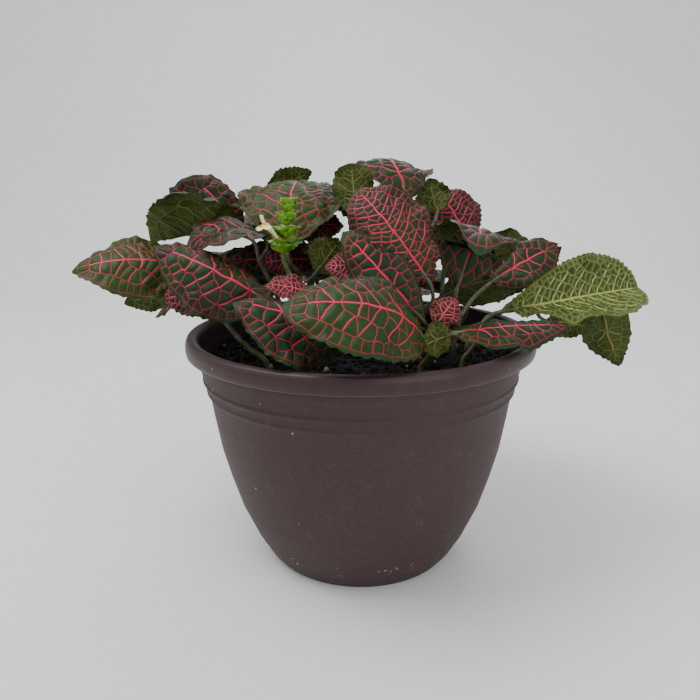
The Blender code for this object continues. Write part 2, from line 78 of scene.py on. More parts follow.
# ---- the shoots that the rule grows ----
SEED = 14
CLEAR_OF_LEAVES = 4.6
CLEAR_OF_STEMS = 3.4
TRIES = 200
LEAST_LEAVES = 2
OPEN_SIDE_Y = (-30.0, 0.0)
OPEN_SIDE_X = 40.0
LOWEST_OUTSIDE = 93.0
NEAR_RIM = (74, 90)
RIM_ROOM = 3
INSIDE_RADIUS = 80
SOIL_ROOM = 5
LEAF_TURNS = (0, 62, -62, 118, -118, 180)
# For each tier: how many shoots, first azimuth and step round the pot (0 is +X, 90 is +Y),
# root radius, stem top's radius and height, leaf length, and leaf tilt.
Tier = namedtuple("Tier", "count first step root top height length dip")
TIERS = [
    Tier(3, 70, 45, 18, 26, 162, 52, 12),
    Tier(4, 25, 43, 40, 50, 145, 56, 0),
    Tier(6, 6, 33, 58, 70, 127, 54, -6),
    Tier(5, 170, 50, 26, 30, 128, 40, 16),
]


# ---- the flower spike ----
SPIKE_STEM_RADIUS = 1.2
SPIKE_TOP_RADIUS = 0.9
SPIKE_PATH = [(-19, -6), (-25, -17, 127), (-34.5, -26, 153)]
SPIKE_FOOT = (-34.5, -26, 155)
SPIKE_TOP = (-31.5, -24, 174)
BRACT_TIERS = 4
BUD_TIERS = 4
BRACT_FORM = ((0.7, 0.75), 0.6)
FLOWER_ROOM = 46
FLOWER_SHARE = 0.16
FLOWER_AZIMUTH = 238
FLOWER_MOUTH = (-40, -38, 168)


# ---- the pot's section, radius and height ----
POT_INSIDE = [
    (46.0, FLOOR_Z), (56.2, 20.0), (64.7, 45.0), (71.3, 77.0), (74.4, 95.0), (77.6, 106.0),
    (78.6, 112.6),
]
POT_RIM = [
    (79.7, 114.7), (81.9, POT_HEIGHT), (83.9, 114.7), (84.8, 112.6), (RIM_RADIUS, 109.4),
    (84.5, LIP_Z), (83.2, LIP_Z), (82.9, 111.8), (80.2, 111.8),
]
POT_OUTSIDE = [
    (79.3, 103.5), (77.2, 95.8), (77.9, 94.6), (76.3, 92.8), (75.8, 90.2), (76.3, 89.0),
    (74.6, 87.2), (73.2, 77.0), (70.4, 60.0), (66.6, 45.0), (62.1, 30.0), (55.2, 14.0),
    (50.1, 5.0), (46.2, 0.0),
]


# ---- leaves and stems ----
# A leaf runs from base to tip. face is the azimuth and elevation its upper side looks
# to, azimuth 0 being -Y and 90 being +X. half is half its width, arch lifts its midrib,
# fold and curl bend its left and right halves up, and shape rounds its two ends.
Leaf = namedtuple(
    "Leaf",
    "base tip face half arch fold curl shape wave",
    defaults=(4, (0, 0), (-8, -8), (0.75, 0.9), 1.0),
)
Shoot = namedtuple("Shoot", "name path leaves")

FRONT_SHOOTS = [
    Shoot("shoot_left", [(-43, -30), (-58, -22, 117), (-72, -8, 131)], [
        Leaf((-84, 2, 144), (-134, -14, 146), (-5, 48), 20, 8, (-8, -8), (-25, -10), (0.55, 0.8)),
        Leaf((-92, 8, 133), (-118, 6, 127), (180, 20), 9, 2),
        Leaf((-66, -12, 136), (-92, -18, 133), (-10, 30), 12, 3),
    ]),
    Shoot("shoot_left_back", [(-34, 8), (-42, 10, 130), (-50, 10, 148)], [
        Leaf((-58, 17, 159), (-106, 22, 155), (0, 78), 31, 3, (62, 62), (-10, -10), (0.6, 0.7)),
        Leaf((-46, 2, 159), (-81, -12, 155), (0, 58), 21, 9, (25, 0), (-10, -30)),
    ]),
    Shoot("shoot_front_left", [(-20, -26), (-28, -30, 120)], [
        Leaf((-38, -34, 133), (-91, -28, 159), (-14, 38), 21, 7, (-5, -40), (-10, -30)),
        Leaf((-21, -46, 140), (-40, -52, 145), (0, 50), 7, 2),
        Leaf((-8, -54, 122), (-51, -64, 140), (-5, 45), 22, 6, (0, -30), (-10, -35)),
    ]),
    Shoot("shoot_hero", [(26, -40), (30, -46, 115)], [
        Leaf((26, -58, 121), (-30, -80, 141), (5, 42), 21, 17, (0, -10), (-15, -35), (0.7, 0.6)),
        Leaf((37, -52, 124), (91, -38, 124), (5, 66), 14, 2, (-22, 0)),
        Leaf((37, -56, 125), (24, -62, 121), (180, 10), 8, 1),
        Leaf((31, -48, 127), (40, -44, 138), (-10, 20), 7, 1),
    ]),
    Shoot("shoot_centre", [(14, -24), (22, -30, 123)], [
        Leaf((30, -38, 142), (-2, -22, 182), (-25, 45), 18, 8, (0, 0), (-30, -25), (0.8, 0.7)),
        Leaf((27, -44, 127), (-8, -34, 165), (-30, 40), 12, 5, (0, 0), (-8, -8), (0.9, 0.8)),
        Leaf((5, -30, 147), (-16, -34, 150), (0, 40), 9, 3),
    ]),
    Shoot("shoot_top", [(12, 4), (12, 2, 135), (12, 2, 161)], [
        Leaf((21, -6, 177), (8, 34, 193), (30, 75), 19, 10, (0, 0), (-30, -30), (0.8, 0.7)),
        Leaf((-2, -4, 169), (-4, 2, 194), (180, 5), 10, 2, (0, 0), (-8, -8), (0.8, 0.5)),
        Leaf((38, 9, 171), (34, 13, 187), (180, 10), 9, 2),
    ]),
    Shoot("shoot_top_left", [(-12, 10), (-20, 4, 130), (-28, 2, 141)], [
        Leaf((-35, -4, 155), (-32, 60, 183), (0, 80), 28, 14, (0, 0), (-25, -25), (0.8, 0.7)),
        Leaf((-20, -20, 146), (-9, -12, 160), (180, 10), 10, 1),
    ]),
    Shoot("shoot_right", [(44, -14), (47, -13, 123)], [
        Leaf((45, -14, 136), (48, -46, 156), (50, 70), 19, 22),
        Leaf((63, -4, 138), (98, 4, 155), (0, 45), 14, 3),
    ]),
    Shoot("shoot_right_back", [(44, 14), (50, 14, 133), (54, 12, 145)], [
        Leaf((56, 14, 155), (39, 28, 182), (-20, 45), 14, 4),
        Leaf((73, 10, 147), (75, 14, 163), (180, 10), 14, 2),
    ]),
    Shoot("shoot_far_right", [(46, -30), (54, -24, 115)], [
        Leaf((63, -18, 126), (135, -2, 135), (180, -15), 20, -6, (-50, 5), (-8, -8), (1.1, 0.55)),
    ]),
    Shoot("shoot_low_right", [(54, 2), (66, 7, 119), (88, 8, 125)], [
        Leaf((94, 6, 117), (117, 4, 114), (180, 0), 8, 2),
        Leaf((122, 8, 124), (132, 2, 94), (180, 5), 13, 4, (4, 4), (0, 0), (0.6, 1.05)),
    ]),
    Shoot("shoot_inner_right", [(30, 20), (33, 24, 120)], [
        Leaf((45, 28, 126), (90, 36, 136), (0, 48), 15, 4),
        Leaf((24, 26, 130), (-4, 34, 150), (0, 40), 14, 3),
    ]),
    Shoot("shoot_inner_left", [(-26, 26), (-30, 30, 120)], [
        Leaf((-40, 34, 131), (-80, 38, 146), (0, 45), 15, 4),
        Leaf((-20, 20, 124), (4, 14, 126), (0, 50), 11, 2),
    ]),
    Shoot("shoot_back_top", [(-12, 40), (-26, 48, 137), (-38, 56, 161)], [
        Leaf((-52, 58, 178), (-26, 66, 191), (180, 20), 9, 2),
    ]),
]
# Leaves deep inside the plant, set where the grown shoots leave them room.
INNER_LEAVES = {
    "shoot_inner_left": [Leaf((-32, 37, 142), (-69, 26, 145), (-13, 28), 12, 4)],
    "shoot_top_left": [Leaf((-22, 22, 146), (-52, 16, 145), (-11, 32), 10, 3)],
    "shoot_back_top": [
        Leaf((-25, 52, 138), (-64, 48, 147), (16, 49), 12, 2),
        Leaf((-37, 52, 159), (-8, 58, 161), (-5, 26), 10, 5),
    ],
}


UP = np.array([0.0, 0.0, 1.0])
RIPPLES = 2.5
RIPPLE_SHIFT = 1.7


# ---- surfaces of leaves ----
def unit(v):
    """v scaled to length 1 along its last axis."""
    return v / np.maximum(np.linalg.norm(v, axis=-1, keepdims=True), 1e-9)


def level(a):
    """The level direction at an angle in radians, 0 being +X."""
    return np.array([math.cos(a), math.sin(a), 0.0])


def facing(azimuth, elevation):
    """The direction that an upper side looks to."""
    a = math.radians(azimuth)
    e = math.radians(elevation)
    return np.array([math.cos(e) * math.sin(a), -math.cos(e) * math.cos(a), math.sin(e)])


def outline(t, shape):
    """A blade's half width along t, 0 at the base and 1 at the tip, as a share of half."""
    a, b = shape
    widest = a / (a + b)
    return (np.clip(t, 0, 1) / widest) ** a * (np.clip(1 - t, 0, 1) / (1 - widest)) ** b


def half_width(leaf, t):
    """Half the blade's width along t."""
    return np.maximum(leaf.half * outline(t, leaf.shape), LEAST_HALF_WIDTH)


def bent(distance, fold, curl, half):
    """How far a curling half blade goes sideways and up, at a distance from the midrib."""
    start = np.radians(fold)
    rate = np.where(np.abs(curl) < 0.5, 0.5, curl) * math.pi / 180 / half
    end = start + rate * distance
    return (np.sin(end) - np.sin(start)) / rate, (np.cos(start) - np.cos(end)) / rate


def midrib(leaf, t):
    """Points on the leaf's midrib."""
    base = np.array(leaf.base, float)
    chord = np.array(leaf.tip, float) - base
    along = unit(chord)
    look = facing(*leaf.face)
    up = unit(look - along * (look @ along))
    return base + chord * t[..., None] + up * (leaf.arch * 4 * t * (1 - t))[..., None]


def blade(leaf, t, q):
    """Points on the leaf's surface: t runs along it and q from -1 to 1 across it."""
    t, q = np.broadcast_arrays(np.asarray(t, float), np.asarray(q, float))
    step = 1e-3
    along = unit(midrib(leaf, np.minimum(t + step, 1)) - midrib(leaf, np.maximum(t - step, 0)))
    look = facing(*leaf.face)
    up = unit(look - along * (along @ look)[..., None])
    side = np.cross(along, up)
    spread = half_width(leaf, t)
    fold = np.where(q < 0, leaf.fold[0], leaf.fold[1])
    curl = np.where(q < 0, leaf.curl[0], leaf.curl[1])
    out, lift = bent(np.abs(q) * spread, fold, curl, leaf.half)
    phase = np.where(q < 0, 0.0, RIPPLE_SHIFT)
    ripple = leaf.wave * q * q * np.sin(2 * RIPPLES * math.pi * t + phase) * spread / leaf.half
    return midrib(leaf, t) + side * (np.sign(q) * out)[..., None] + up * (lift + ripple)[..., None]


def blade_normal(leaf, t, q):
    """The upper side's direction at points of the blade."""
    d = 0.02
    dt = blade(leaf, np.clip(t + d, 0, 1), q) - blade(leaf, np.clip(t - d, 0, 1), q)
    dq = blade(leaf, t, np.clip(q + 6 * d, -1, 1)) - blade(leaf, t, np.clip(q - 6 * d, -1, 1))
    return unit(np.cross(dq, dt))


# ---- the net of veins ----
# strip is the distance between side veins, step that between the cross veins, rim the width
# of the plain border, quilt the height of the pillows, and widths the half widths of
# the midrib, the side veins and the cross veins. slope says how far the side veins lean.
Style = namedtuple("Style", "strip step rim quilt widths tone slope", defaults=((0.45, 0.34),))
MATURE = Style(8.6, 6.2, 1.8, 0.6, (0.54, 0.27, 0.12), 0.0)
FINE = Style(5.0, 3.8, 1.1, 0.4, (0.44, 0.23, 0.13), 0.5)
YOUNG = Style(3.6, 2.7, 0.6, 0.25, (0.36, 0.24, 0.15), 1.0)
LIGHT = MATURE._replace(tone=-1.0)
SAGE = Style(4.6, 3.9, 1.0, 0.45, (0.62, 0.27, 0.09), 0.3, (0.62, 0.4))
# Shares of a style's strip or step: how cells are shifted and jittered, and how much room
# they have to the midrib, the border, each other, and the mirrored cells outside.
BASAL_STRIPS = 4
FOOT_JITTER = 0.12
RIB_ROOM = 0.3
RING_ROOM = 0.62
RING_INSET = 0.24
RING_JITTER = 0.2
CROWDED = 0.36
GHOST_REACH = 1.6
STATION_SHIFT = 0.16
STATION_JITTER = 0.11
PAIR_SHARE = 0.215
MERGE = 0.25
RING_STEP = 0.42
TOOTH = 0.6
TOOTH_SHARE = (0.2, 0.9)
SHOULDER = 0.72
TAPERS = (0.55, 0.35, 0.3)
TIP_REACH = 0.35
FAR_SITES = 24
SHEET = 0.24
EDGE_SHEET = 0.02
RIB_DEPTH = 0.8
VEIN_SINK = 0.9
VEIN_LEAST = 0.2
BOW = 0.08
MARGIN_VEIN = 0.55


def length_of(leaf):
    """A blade's length."""
    return math.dist(leaf.base, leaf.tip)


def inner_half(leaf, x, rim):
    """Half the width inside the plain border, at x along the leaf."""
    wide = leaf.half * outline(x / length_of(leaf), leaf.shape)
    return np.maximum(wide - np.minimum(rim, 0.3 * wide), 0.25)


def span(leaf, rim):
    """Where the part inside the plain border starts and ends along the leaf."""
    length = length_of(leaf)
    return 0.012 * length, length - min(1.4 * rim, 0.08 * length) - 0.002 * length


def loop_of(leaf, rim, count=90):
    """The closed line where the border starts, once round the leaf, counterclockwise."""
    start, end = span(leaf, rim)
    x = start + (end - start) * (1 - np.cos(np.linspace(0, math.pi, count))) / 2
    y = inner_half(leaf, x, rim)
    return np.concatenate([np.column_stack([x, -y]), np.column_stack([x, y])[::-1]])


def reach_along(line):
    """How far each point of a line is from its start, along the line."""
    return np.concatenate([[0], np.cumsum(np.linalg.norm(np.diff(line, axis=0), axis=1))])


def at_reach(line, reach, at):
    """The line's points at those distances from its start."""
    return np.column_stack([np.interp(at, reach, column) for column in line.T])


def nearest(points, line):
    """The nearest of line's points to each point, and how far it is."""
    gap = np.linalg.norm(points[:, None] - line[None], axis=2)
    best = gap.argmin(axis=1)
    return line[best], gap[np.arange(len(points)), best]


def dense(line, step=0.4):
    """Points close together on a closed line."""
    ends = np.roll(line, -1, axis=0)
    count = max(2, int(np.linalg.norm(ends - line, axis=1).max() / step) + 1)
    u = (np.arange(count) / count)[:, None, None]
    return (line * (1 - u) + ends * u).reshape(-1, 2)


def within(points, leaf, rim):
    """Whether each point lies inside the border line."""
    x, y = points.T
    start, end = span(leaf, rim)
    inside = (x > start) & (x < end)
    return inside & (np.abs(y) < inner_half(leaf, np.clip(x, 0, length_of(leaf)), rim))


def pair_sites(leaf, style, rng):
    """Middles of cells in pairs, one on each side of a side vein, with (side, vein, way)."""
    a, b = style.slope
    sites = []
    tags = []
    for k in range(-int(BASAL_STRIPS * (1 + a)), int(length_of(leaf) / style.strip) + 2):
        foot = (k + 0.5 + rng.uniform(-FOOT_JITTER, FOOT_JITTER)) * style.strip
        shift = STATION_SHIFT * (1 if k % 2 else -1)
        for j in range(int(leaf.half / style.step) + 2):
            both = rng.uniform(-STATION_JITTER, STATION_JITTER)
            for side in (-1, 1):
                jitter = rng.uniform(-STATION_JITTER, STATION_JITTER) if j else both
                y = (j + 0.5 + shift + jitter) * style.step
                normal = unit(np.array([1.0, -a - 2 * b * y / leaf.half]))
                x = foot + a * y + b * y * y / leaf.half
                for way in (-1, 1):
                    at = np.array([x, y]) + way * normal * style.strip * PAIR_SHARE
                    sites.append((at[0], side * max(at[1], RIB_ROOM * style.step)))
                    tags.append((side, k, way))
    return np.array(sites), tags


def ring_sites(leaf, style, rng):
    """Middles of the small cells along the border."""
    line = loop_of(leaf, style.rim + RING_INSET * style.step)
    reach = reach_along(line)
    step = RING_ROOM * style.step
    at = np.arange(0.5 * step, reach[-1], step)
    at = at + np.array([rng.uniform(-RING_JITTER, RING_JITTER) * step for _ in at])
    points = at_reach(line, reach, at)
    return points[within(points, leaf, style.rim)]


def cell_sites(leaf, style, rng):
    """Middles of all the cells with their tags, and of the mirrored ones outside the border."""
    line = dense(loop_of(leaf, style.rim))
    sites, tags = pair_sites(leaf, style, rng)
    keep = within(sites, leaf, style.rim)
    keep &= nearest(sites, line)[1] > RING_ROOM * style.step
    ring = ring_sites(leaf, style, rng)
    sites = np.concatenate([sites[keep], ring])
    tags = [tag for tag, kept in zip(tags, keep) if kept] + [(0, 0, 0)] * len(ring)
    gap = np.linalg.norm(sites[:, None] - sites[None], axis=2)
    crowded = np.tril(gap < CROWDED * style.step, -1).any(axis=1)
    sites = sites[~crowded]
    tags = [tag for tag, bad in zip(tags, crowded) if not bad]
    foot, far = nearest(sites, line)
    ghosts = (2 * foot - sites)[far < GHOST_REACH * style.step]
    ghosts = ghosts[~within(ghosts, leaf, style.rim)]
    around = np.linspace(0, 2 * math.pi, FAR_SITES, endpoint=False)
    middle = 0.5 * length_of(leaf)
    reach = np.array([middle, leaf.half]) + 1.2 * style.step
    far = np.column_stack([np.cos(around), np.sin(around)]) * reach + [middle, 0]
    return np.concatenate([sites, ghosts, far]), tags


def circumcentre(a, b, c):
    """The centre of the circle through three points."""
    d = 2 * ((b[0] - a[0]) * (c[1] - a[1]) - (b[1] - a[1]) * (c[0] - a[0]))
    ab = (b - a) @ (b - a)
    ac = (c - a) @ (c - a)
    return a + np.array([(c[1] - a[1]) * ab - (b[1] - a[1]) * ac,
                         (b[0] - a[0]) * ac - (c[0] - a[0]) * ab]) / d


def voronoi(sites, count):
    """The corners, and the first count sites' cells as lists of (corner, site across)."""
    faces, origin = delaunay_2d_cdt([Vector(s) for s in sites], [], [], 0, 1e-6)[2:4]
    left = {}
    corners = []
    for face in faces:
        a, b, c = (origin[v][0] for v in face)
        for p, q, r in ((a, b, c), (b, c, a), (c, a, b)):
            left[p, q] = (len(corners), r)
        corners.append(circumcentre(sites[a], sites[b], sites[c]))
    corners = np.array(corners)
    first = (np.linalg.norm(corners[:, None] - corners[None], axis=2) < MERGE).argmax(axis=1)
    starts = {}
    for p, q in left:
        starts.setdefault(p, q)
    cells = [walk_round(site, starts, left, first) for site in range(count)]
    return corners, cells


def walk_round(site, starts, left, first):
    """The cell round a site, or nothing where it isn't closed."""
    start = other = starts.get(site)
    cell = []
    while (site, other) in left and len(cell) < 40:
        corner, other = left[site, other]
        cell.append((int(first[corner]), other))
        if other == start:
            kept = [c for c, after in zip(cell, cell[1:] + cell[:1]) if c[0] != after[0]]
            return kept if len(kept) > 2 else []
    return []


def vein_width(style, tags, a, b, x, y, length, half):
    """The half width of the vein between the cells of sites a and b."""
    if a >= len(tags) or b >= len(tags):
        return MARGIN_VEIN * style.widths[2]
    one, two = tags[a], tags[b]
    if one[0] * two[0] < 0:
        return style.widths[0] * (1 - TAPERS[0] * x / length)
    if one[0] and one[:2] == two[:2] and one[2] != two[2]:
        return style.widths[1] * (1 - TAPERS[1] * abs(y) / half)
    return style.widths[2] * (1 - TAPERS[2] * abs(y) / half)


class Net:
    """A blade's fine mesh before it is bent: flat places, heights, ribs, faces and corners."""

    def __init__(self):
        self.numbers = {}
        self.flat = []
        self.height = []
        self.rib = []
        self.faces = []
        self.corners = []

    def vertex(self, key, place, height=0.0, rib=0.0):
        """The number of the vertex with that key, made where it is new."""
        if key not in self.numbers:
            self.numbers[key] = len(self.flat)
            self.flat.append(np.asarray(place, float))
            self.height.append(height)
            self.rib.append(rib)
        number = self.numbers[key]
        self.rib[number] = max(self.rib[number], rib)
        return number

    def face(self, numbers, line, width):
        """A face whose corners know how far they are from the vein's line, and its width."""
        a, b = self.flat[line[0]], self.flat[line[1]]
        along = (b - a) / max(np.linalg.norm(b - a), 1e-6)
        self.faces.append(numbers)
        for v in numbers:
            gap = self.flat[v] - a
            self.corners.append((abs(gap[0] * along[1] - gap[1] * along[0]), width))


def leaf_net(leaf, style, rng):
    """The blade's cells as pillows between veins, and its toothed border."""
    length = length_of(leaf)
    sites, tags = cell_sites(leaf, style, rng)
    corners, cells = voronoi(sites, len(tags))
    outside = ~within(corners, leaf, style.rim)
    corners[outside] = nearest(corners[outside], dense(loop_of(leaf, style.rim)))[0]
    edge = dense(loop_of(leaf, 0.0))
    tip = (span(leaf, style.rim)[1] - TIP_REACH, length)
    net = Net()
    for site, cell in enumerate(cells):
        ring = []
        for (corner, across), (after, _) in zip(cell, cell[1:] + cell[:1]):
            x, y = (corners[corner] + corners[after]) / 2
            width = vein_width(style, tags, site, across, x, y, length, leaf.half)
            run = edge_vertices(net, corner, after, corners, width, rng)
            ring += [(v, width) for v in run[:-1]]
            if across >= len(tags):
                border(net, run, edge, width, rng, tip)
        if ring:
            pillow(net, site, ring, style)
    return net


def edge_vertices(net, corner, after, corners, width, rng):
    """The vertices along a vein between two corners: its ends and a middle off the straight."""
    a, b = corners[corner], corners[after]
    rib = max(width - VEIN_LEAST, 0.0)
    ends = [net.vertex(("corner", n), corners[n], 0.0, rib) for n in (corner, after)]
    key = ("middle", min(corner, after), max(corner, after))
    bow = rng.uniform(-BOW, BOW) if key not in net.numbers else 0
    place = (a + b) / 2 + bow * np.array([b[1] - a[1], a[0] - b[0]])
    middle = net.vertex(key, place, 0.0, rib)
    return [ends[0], middle, ends[1]]


def pillow(net, site, ring, style):
    """A cell that swells between its veins."""
    outer = [v for v, _ in ring]
    places = np.array([net.flat[v] for v in outer])
    centre = places.mean(axis=0)
    size = min(1.0, np.linalg.norm(places - centre, axis=1).mean() / (0.5 * style.step))
    top = style.quilt * size
    middle = net.vertex(("cell", site), centre, top)
    inner = []
    for i, place in enumerate(places):
        at = place + RING_STEP * (centre - place)
        inner.append(net.vertex(("inner", site, i), at, SHOULDER * top))
    for i, (v, width) in enumerate(ring):
        j = (i + 1) % len(ring)
        line = (v, outer[j])
        net.face((v, outer[j], inner[j], inner[i]), line, width)
        net.face((inner[i], inner[j], middle), line, width)


def border(net, run, edge, width, rng, tip):
    """The plain border outside a run of vertices, with a tooth at the run's middle."""
    places = np.array([net.flat[v] for v in run])
    feet, _ = nearest(places, edge)
    outer = []
    for v, foot, place, tooth in zip(run, feet, places, (-TOOTH, TOOTH, -TOOTH)):
        if place[0] > tip[0]:
            foot = np.array([tip[1], 0.3 * place[1]])
            tooth = 0.0
        out = unit(foot - place)
        outer.append(net.vertex(("edge", v), foot + tooth * rng.uniform(*TOOTH_SHARE) * out))
    for i in range(2):
        a, b = run[i], run[i + 1]
        net.face((b, a, outer[i], outer[i + 1]), (a, b), width)


# ---- meshes ----
# A face corner's four numbers where there is no vein: distance, half width, place, tone.
NO_VEIN = (9.0, 0.1, 0.5, 0.0)
WAVE_HEIGHT = 0.1
WAVE_SCALE = 0.085
RUMPLE_HEIGHT = 0.045
RUMPLE_SCALE = 2.6
SMOOTH_BASE = 12
SMOOTH_TIP = 9


def added(name, data):
    """A new object with that data, in the scene."""
    obj = bpy.data.objects.new(name, data)
    bpy.context.scene.collection.objects.link(obj)
    return obj


class Body:
    """One piece's mesh as it is gathered: vertices, faces, their materials and vein numbers."""

    def __init__(self):
        self.verts = []
        self.faces = []
        self.slots = []
        self.veins = []

    def add(self, verts, faces, slot, veins=None):
        """Add faces of one material; veins has four numbers for each face corner."""
        start = len(self.verts)
        self.verts.extend(np.asarray(verts, float).reshape(-1, 3))
        for face in faces:
            self.faces.append(tuple(start + v for v in face))
            self.slots.append(slot)
        count = sum(len(face) for face in faces)
        self.veins.extend(veins if veins is not None else [NO_VEIN] * count)

    def object(self, name, mats, sharp=None):
        """The piece as an object."""
        mesh = bpy.data.meshes.new(name)
        mesh.from_pydata([tuple(v * MM) for v in self.verts], [], self.faces)
        for mat in mats:
            mesh.materials.append(mat)
        mesh.polygons.foreach_set("material_index", self.slots)
        layer = mesh.attributes.new("veins", "FLOAT_COLOR", "CORNER")
        layer.data.foreach_set("color", np.array(self.veins, np.float32).ravel())
        mesh.shade_smooth()
        if sharp:
            mesh.set_sharp_from_angle(angle=math.radians(sharp))
        return added(name, mesh)


def inner_normal(leaf, t, q):
    """The upper side's direction, taken a little inside the blade's edge."""
    return blade_normal(leaf, np.clip(t, 0.03, 0.97), np.clip(q, -0.9, 0.9))


def ruffle(leaf, flat, q, rng):
    """How far a blade stands off its smooth form, most of all along its edges."""
    shift = Vector([rng.uniform(-99, 99) for _ in range(3)])
    waves = []
    for (x, y), side in zip(flat, q):
        at = Vector((x, y, 0.0))
        wave = noise.noise(at * WAVE_SCALE + shift) * WAVE_HEIGHT
        rumple = noise.noise(at * RUMPLE_SCALE * WAVE_SCALE + shift) * RUMPLE_HEIGHT
        stand = wave * abs(side) ** 2.5 + rumple * (0.3 + abs(side) ** 2)
        waves.append(stand * 2 * leaf.half)
    return np.array(waves)


def add_leaf(body, leaf, style, rng, slots):
    """A fine blade with its two sides."""
    net = leaf_net(leaf, style, rng)
    flat = np.array(net.flat)
    t = flat[:, 0] / length_of(leaf)
    q = flat[:, 1] / half_width(leaf, t)
    at = blade(leaf, t, q)
    normal = inner_normal(leaf, t, q)
    fade = np.clip(SMOOTH_BASE * t, 0, 1) * np.clip(SMOOTH_TIP * (1 - t), 0, 1)
    at = at + normal * (ruffle(leaf, flat, q, rng) * fade)[:, None]
    rib = np.array(net.rib)[:, None]
    height = np.array(net.height)[:, None] - VEIN_SINK * rib
    rim = np.array([key[0] == "edge" for key in net.numbers])[:, None]
    top = at + normal * np.where(rim, EDGE_SHEET, height + SHEET)
    under = at + normal * np.where(rim, -EDGE_SHEET, height - SHEET - RIB_DEPTH * rib)
    corners = [v for face in net.faces for v in face]
    veins = [(d, w, float(t[v]), style.tone) for (d, w), v in zip(net.corners, corners)]
    body.add(top, net.faces, slots[0], veins)
    turned = []
    for face in net.faces:
        start = len(turned)
        turned.extend(veins[start:start + len(face)][::-1])
    body.add(under, [face[::-1] for face in net.faces], slots[1], turned)


def circle(r, z, count):
    """Points evenly round the Z axis."""
    return [(r * math.cos(a), r * math.sin(a), z) for a in 2 * math.pi * np.arange(count) / count]


def ring_faces(first, rings, count):
    """Faces between rings of count vertices each, counted on from vertex first."""
    faces = []
    for i in range(rings - 1):
        for k in range(count):
            a = first + i * count + k
            b = first + i * count + (k + 1) % count
            faces.append((a, a + count, b + count, b))
    return faces


def tube_solid(points, radii, sides):
    """Points and faces of a closed tube along points."""
    points = np.array(points, float)
    along = unit(np.gradient(points, axis=0))
    side = unit(np.cross(along[0], [0.31, 0.95, 0.05]))
    verts = []
    for p, d, r in zip(points, along, radii):
        side = unit(side - d * (side @ d))
        other = np.cross(d, side)
        for k in range(sides):
            a = 2 * math.pi * k / sides
            verts.append(p + r * (math.cos(a) * side + math.sin(a) * other))
    faces = [tuple(range(sides))[::-1]]
    for a, up, over, b in ring_faces(0, len(points), sides):
        faces += [(a, b, over), (a, over, up)]
    last = (len(points) - 1) * sides
    faces.append(tuple(range(last, last + sides)))
    return verts, faces


def smooth_path(points, steps):
    """A Catmull-Rom curve through points."""
    points = np.array(points, float)
    ends = [2 * points[0] - points[1], *points, 2 * points[-1] - points[-2]]
    curve = []
    for a, b, c, d in zip(ends, ends[1:], ends[2:], ends[3:]):
        for u in np.arange(steps) / steps:
            curve.append(0.5 * (2 * b + (c - a) * u + (2 * a - 5 * b + 4 * c - d) * u ** 2
                                + (3 * b - a - 3 * c + d) * u ** 3))
    curve.append(points[-1])
    return np.array(curve)


def soil_height(x, y):
    """The soil's surface, highest on the pot's axis."""
    return SOIL_EDGE_Z + SOIL_DOME * (1 - (x * x + y * y) / SOIL_RADIUS ** 2)


def stem_points(shoot):
    """The shoot's stem: straight up out of the soil, then along its path."""
    x, y = shoot.path[0]
    ground = soil_height(x, y)
    bends = [(x, y, ground + 2), *shoot.path[1:]]
    return [np.array((x, y, ground - STEM_ROOT_DEPTH)), *smooth_path(bends, 2)]


def petiole_points(leaf, stem):
    """The leaf's stalk, from the stem into the start of the midrib."""
    start = stem[-1]
    base, rib = midrib(leaf, np.array([0.0, 0.12]))
    reach = np.linalg.norm(base - start)
    knee = base - unit(rib - base) * 0.45 * reach
    u = np.linspace(0, 1, 3)[:, None]
    stalk = (1 - u) ** 2 * start + 2 * u * (1 - u) * knee + u ** 2 * base
    return [*stalk, rib]


# ---- stems, stalks and hairs ----
HAIR_LENGTH = 1.3
HAIR_RADIUS = 0.06
STEM_HAIRS = 5.0
STALK_HAIRS = 4.0
FLOWER_HAIRS = 2.0
STEM_SHARE = 0.92
STEM_TAPER = 0.6
NODE_SWELL = 0.35


def fine_curve(points, step=1.2):
    """A smooth curve through points, sampled evenly."""
    curve = smooth_path(points, 12)
    reach = reach_along(curve)
    return at_reach(curve, reach, np.linspace(0, reach[-1], max(3, int(reach[-1] / step))))


def add_tube(body, points, radii, slot, rng, hairs=0.0, sides=10, foot=0.0):
    """A round stem along points with hairs standing off it above height foot."""
    verts, faces = tube_solid(points, radii, sides)
    body.add(verts, faces, slot)
    along = unit(np.gradient(points, axis=0))
    length = np.linalg.norm(np.diff(points, axis=0), axis=1).sum()
    for _ in range(int(hairs * length)):
        i = rng.randrange(len(points))
        if points[i][2] < foot:
            continue
        add_hair(body, points[i], along[i], radii[i], slot, rng)


def add_hair(body, place, along, radius, slot, rng):
    """One thin hair as a three-sided spike."""
    out = unit(np.cross(along, [rng.uniform(-1, 1) for _ in range(3)]))
    side = np.cross(along, out)
    foot = place + out * (radius - 0.05)
    tip = foot + unit(out + 0.4 * along * rng.uniform(-1, 1)) * HAIR_LENGTH * rng.uniform(0.5, 1)
    ring = [foot + HAIR_RADIUS * (math.cos(a) * along + math.sin(a) * side) for a in (0, 2.1, 4.2)]
    body.add([*ring, tip], [(0, 1, 3), (1, 2, 3), (2, 0, 3), (2, 1, 0)], slot)


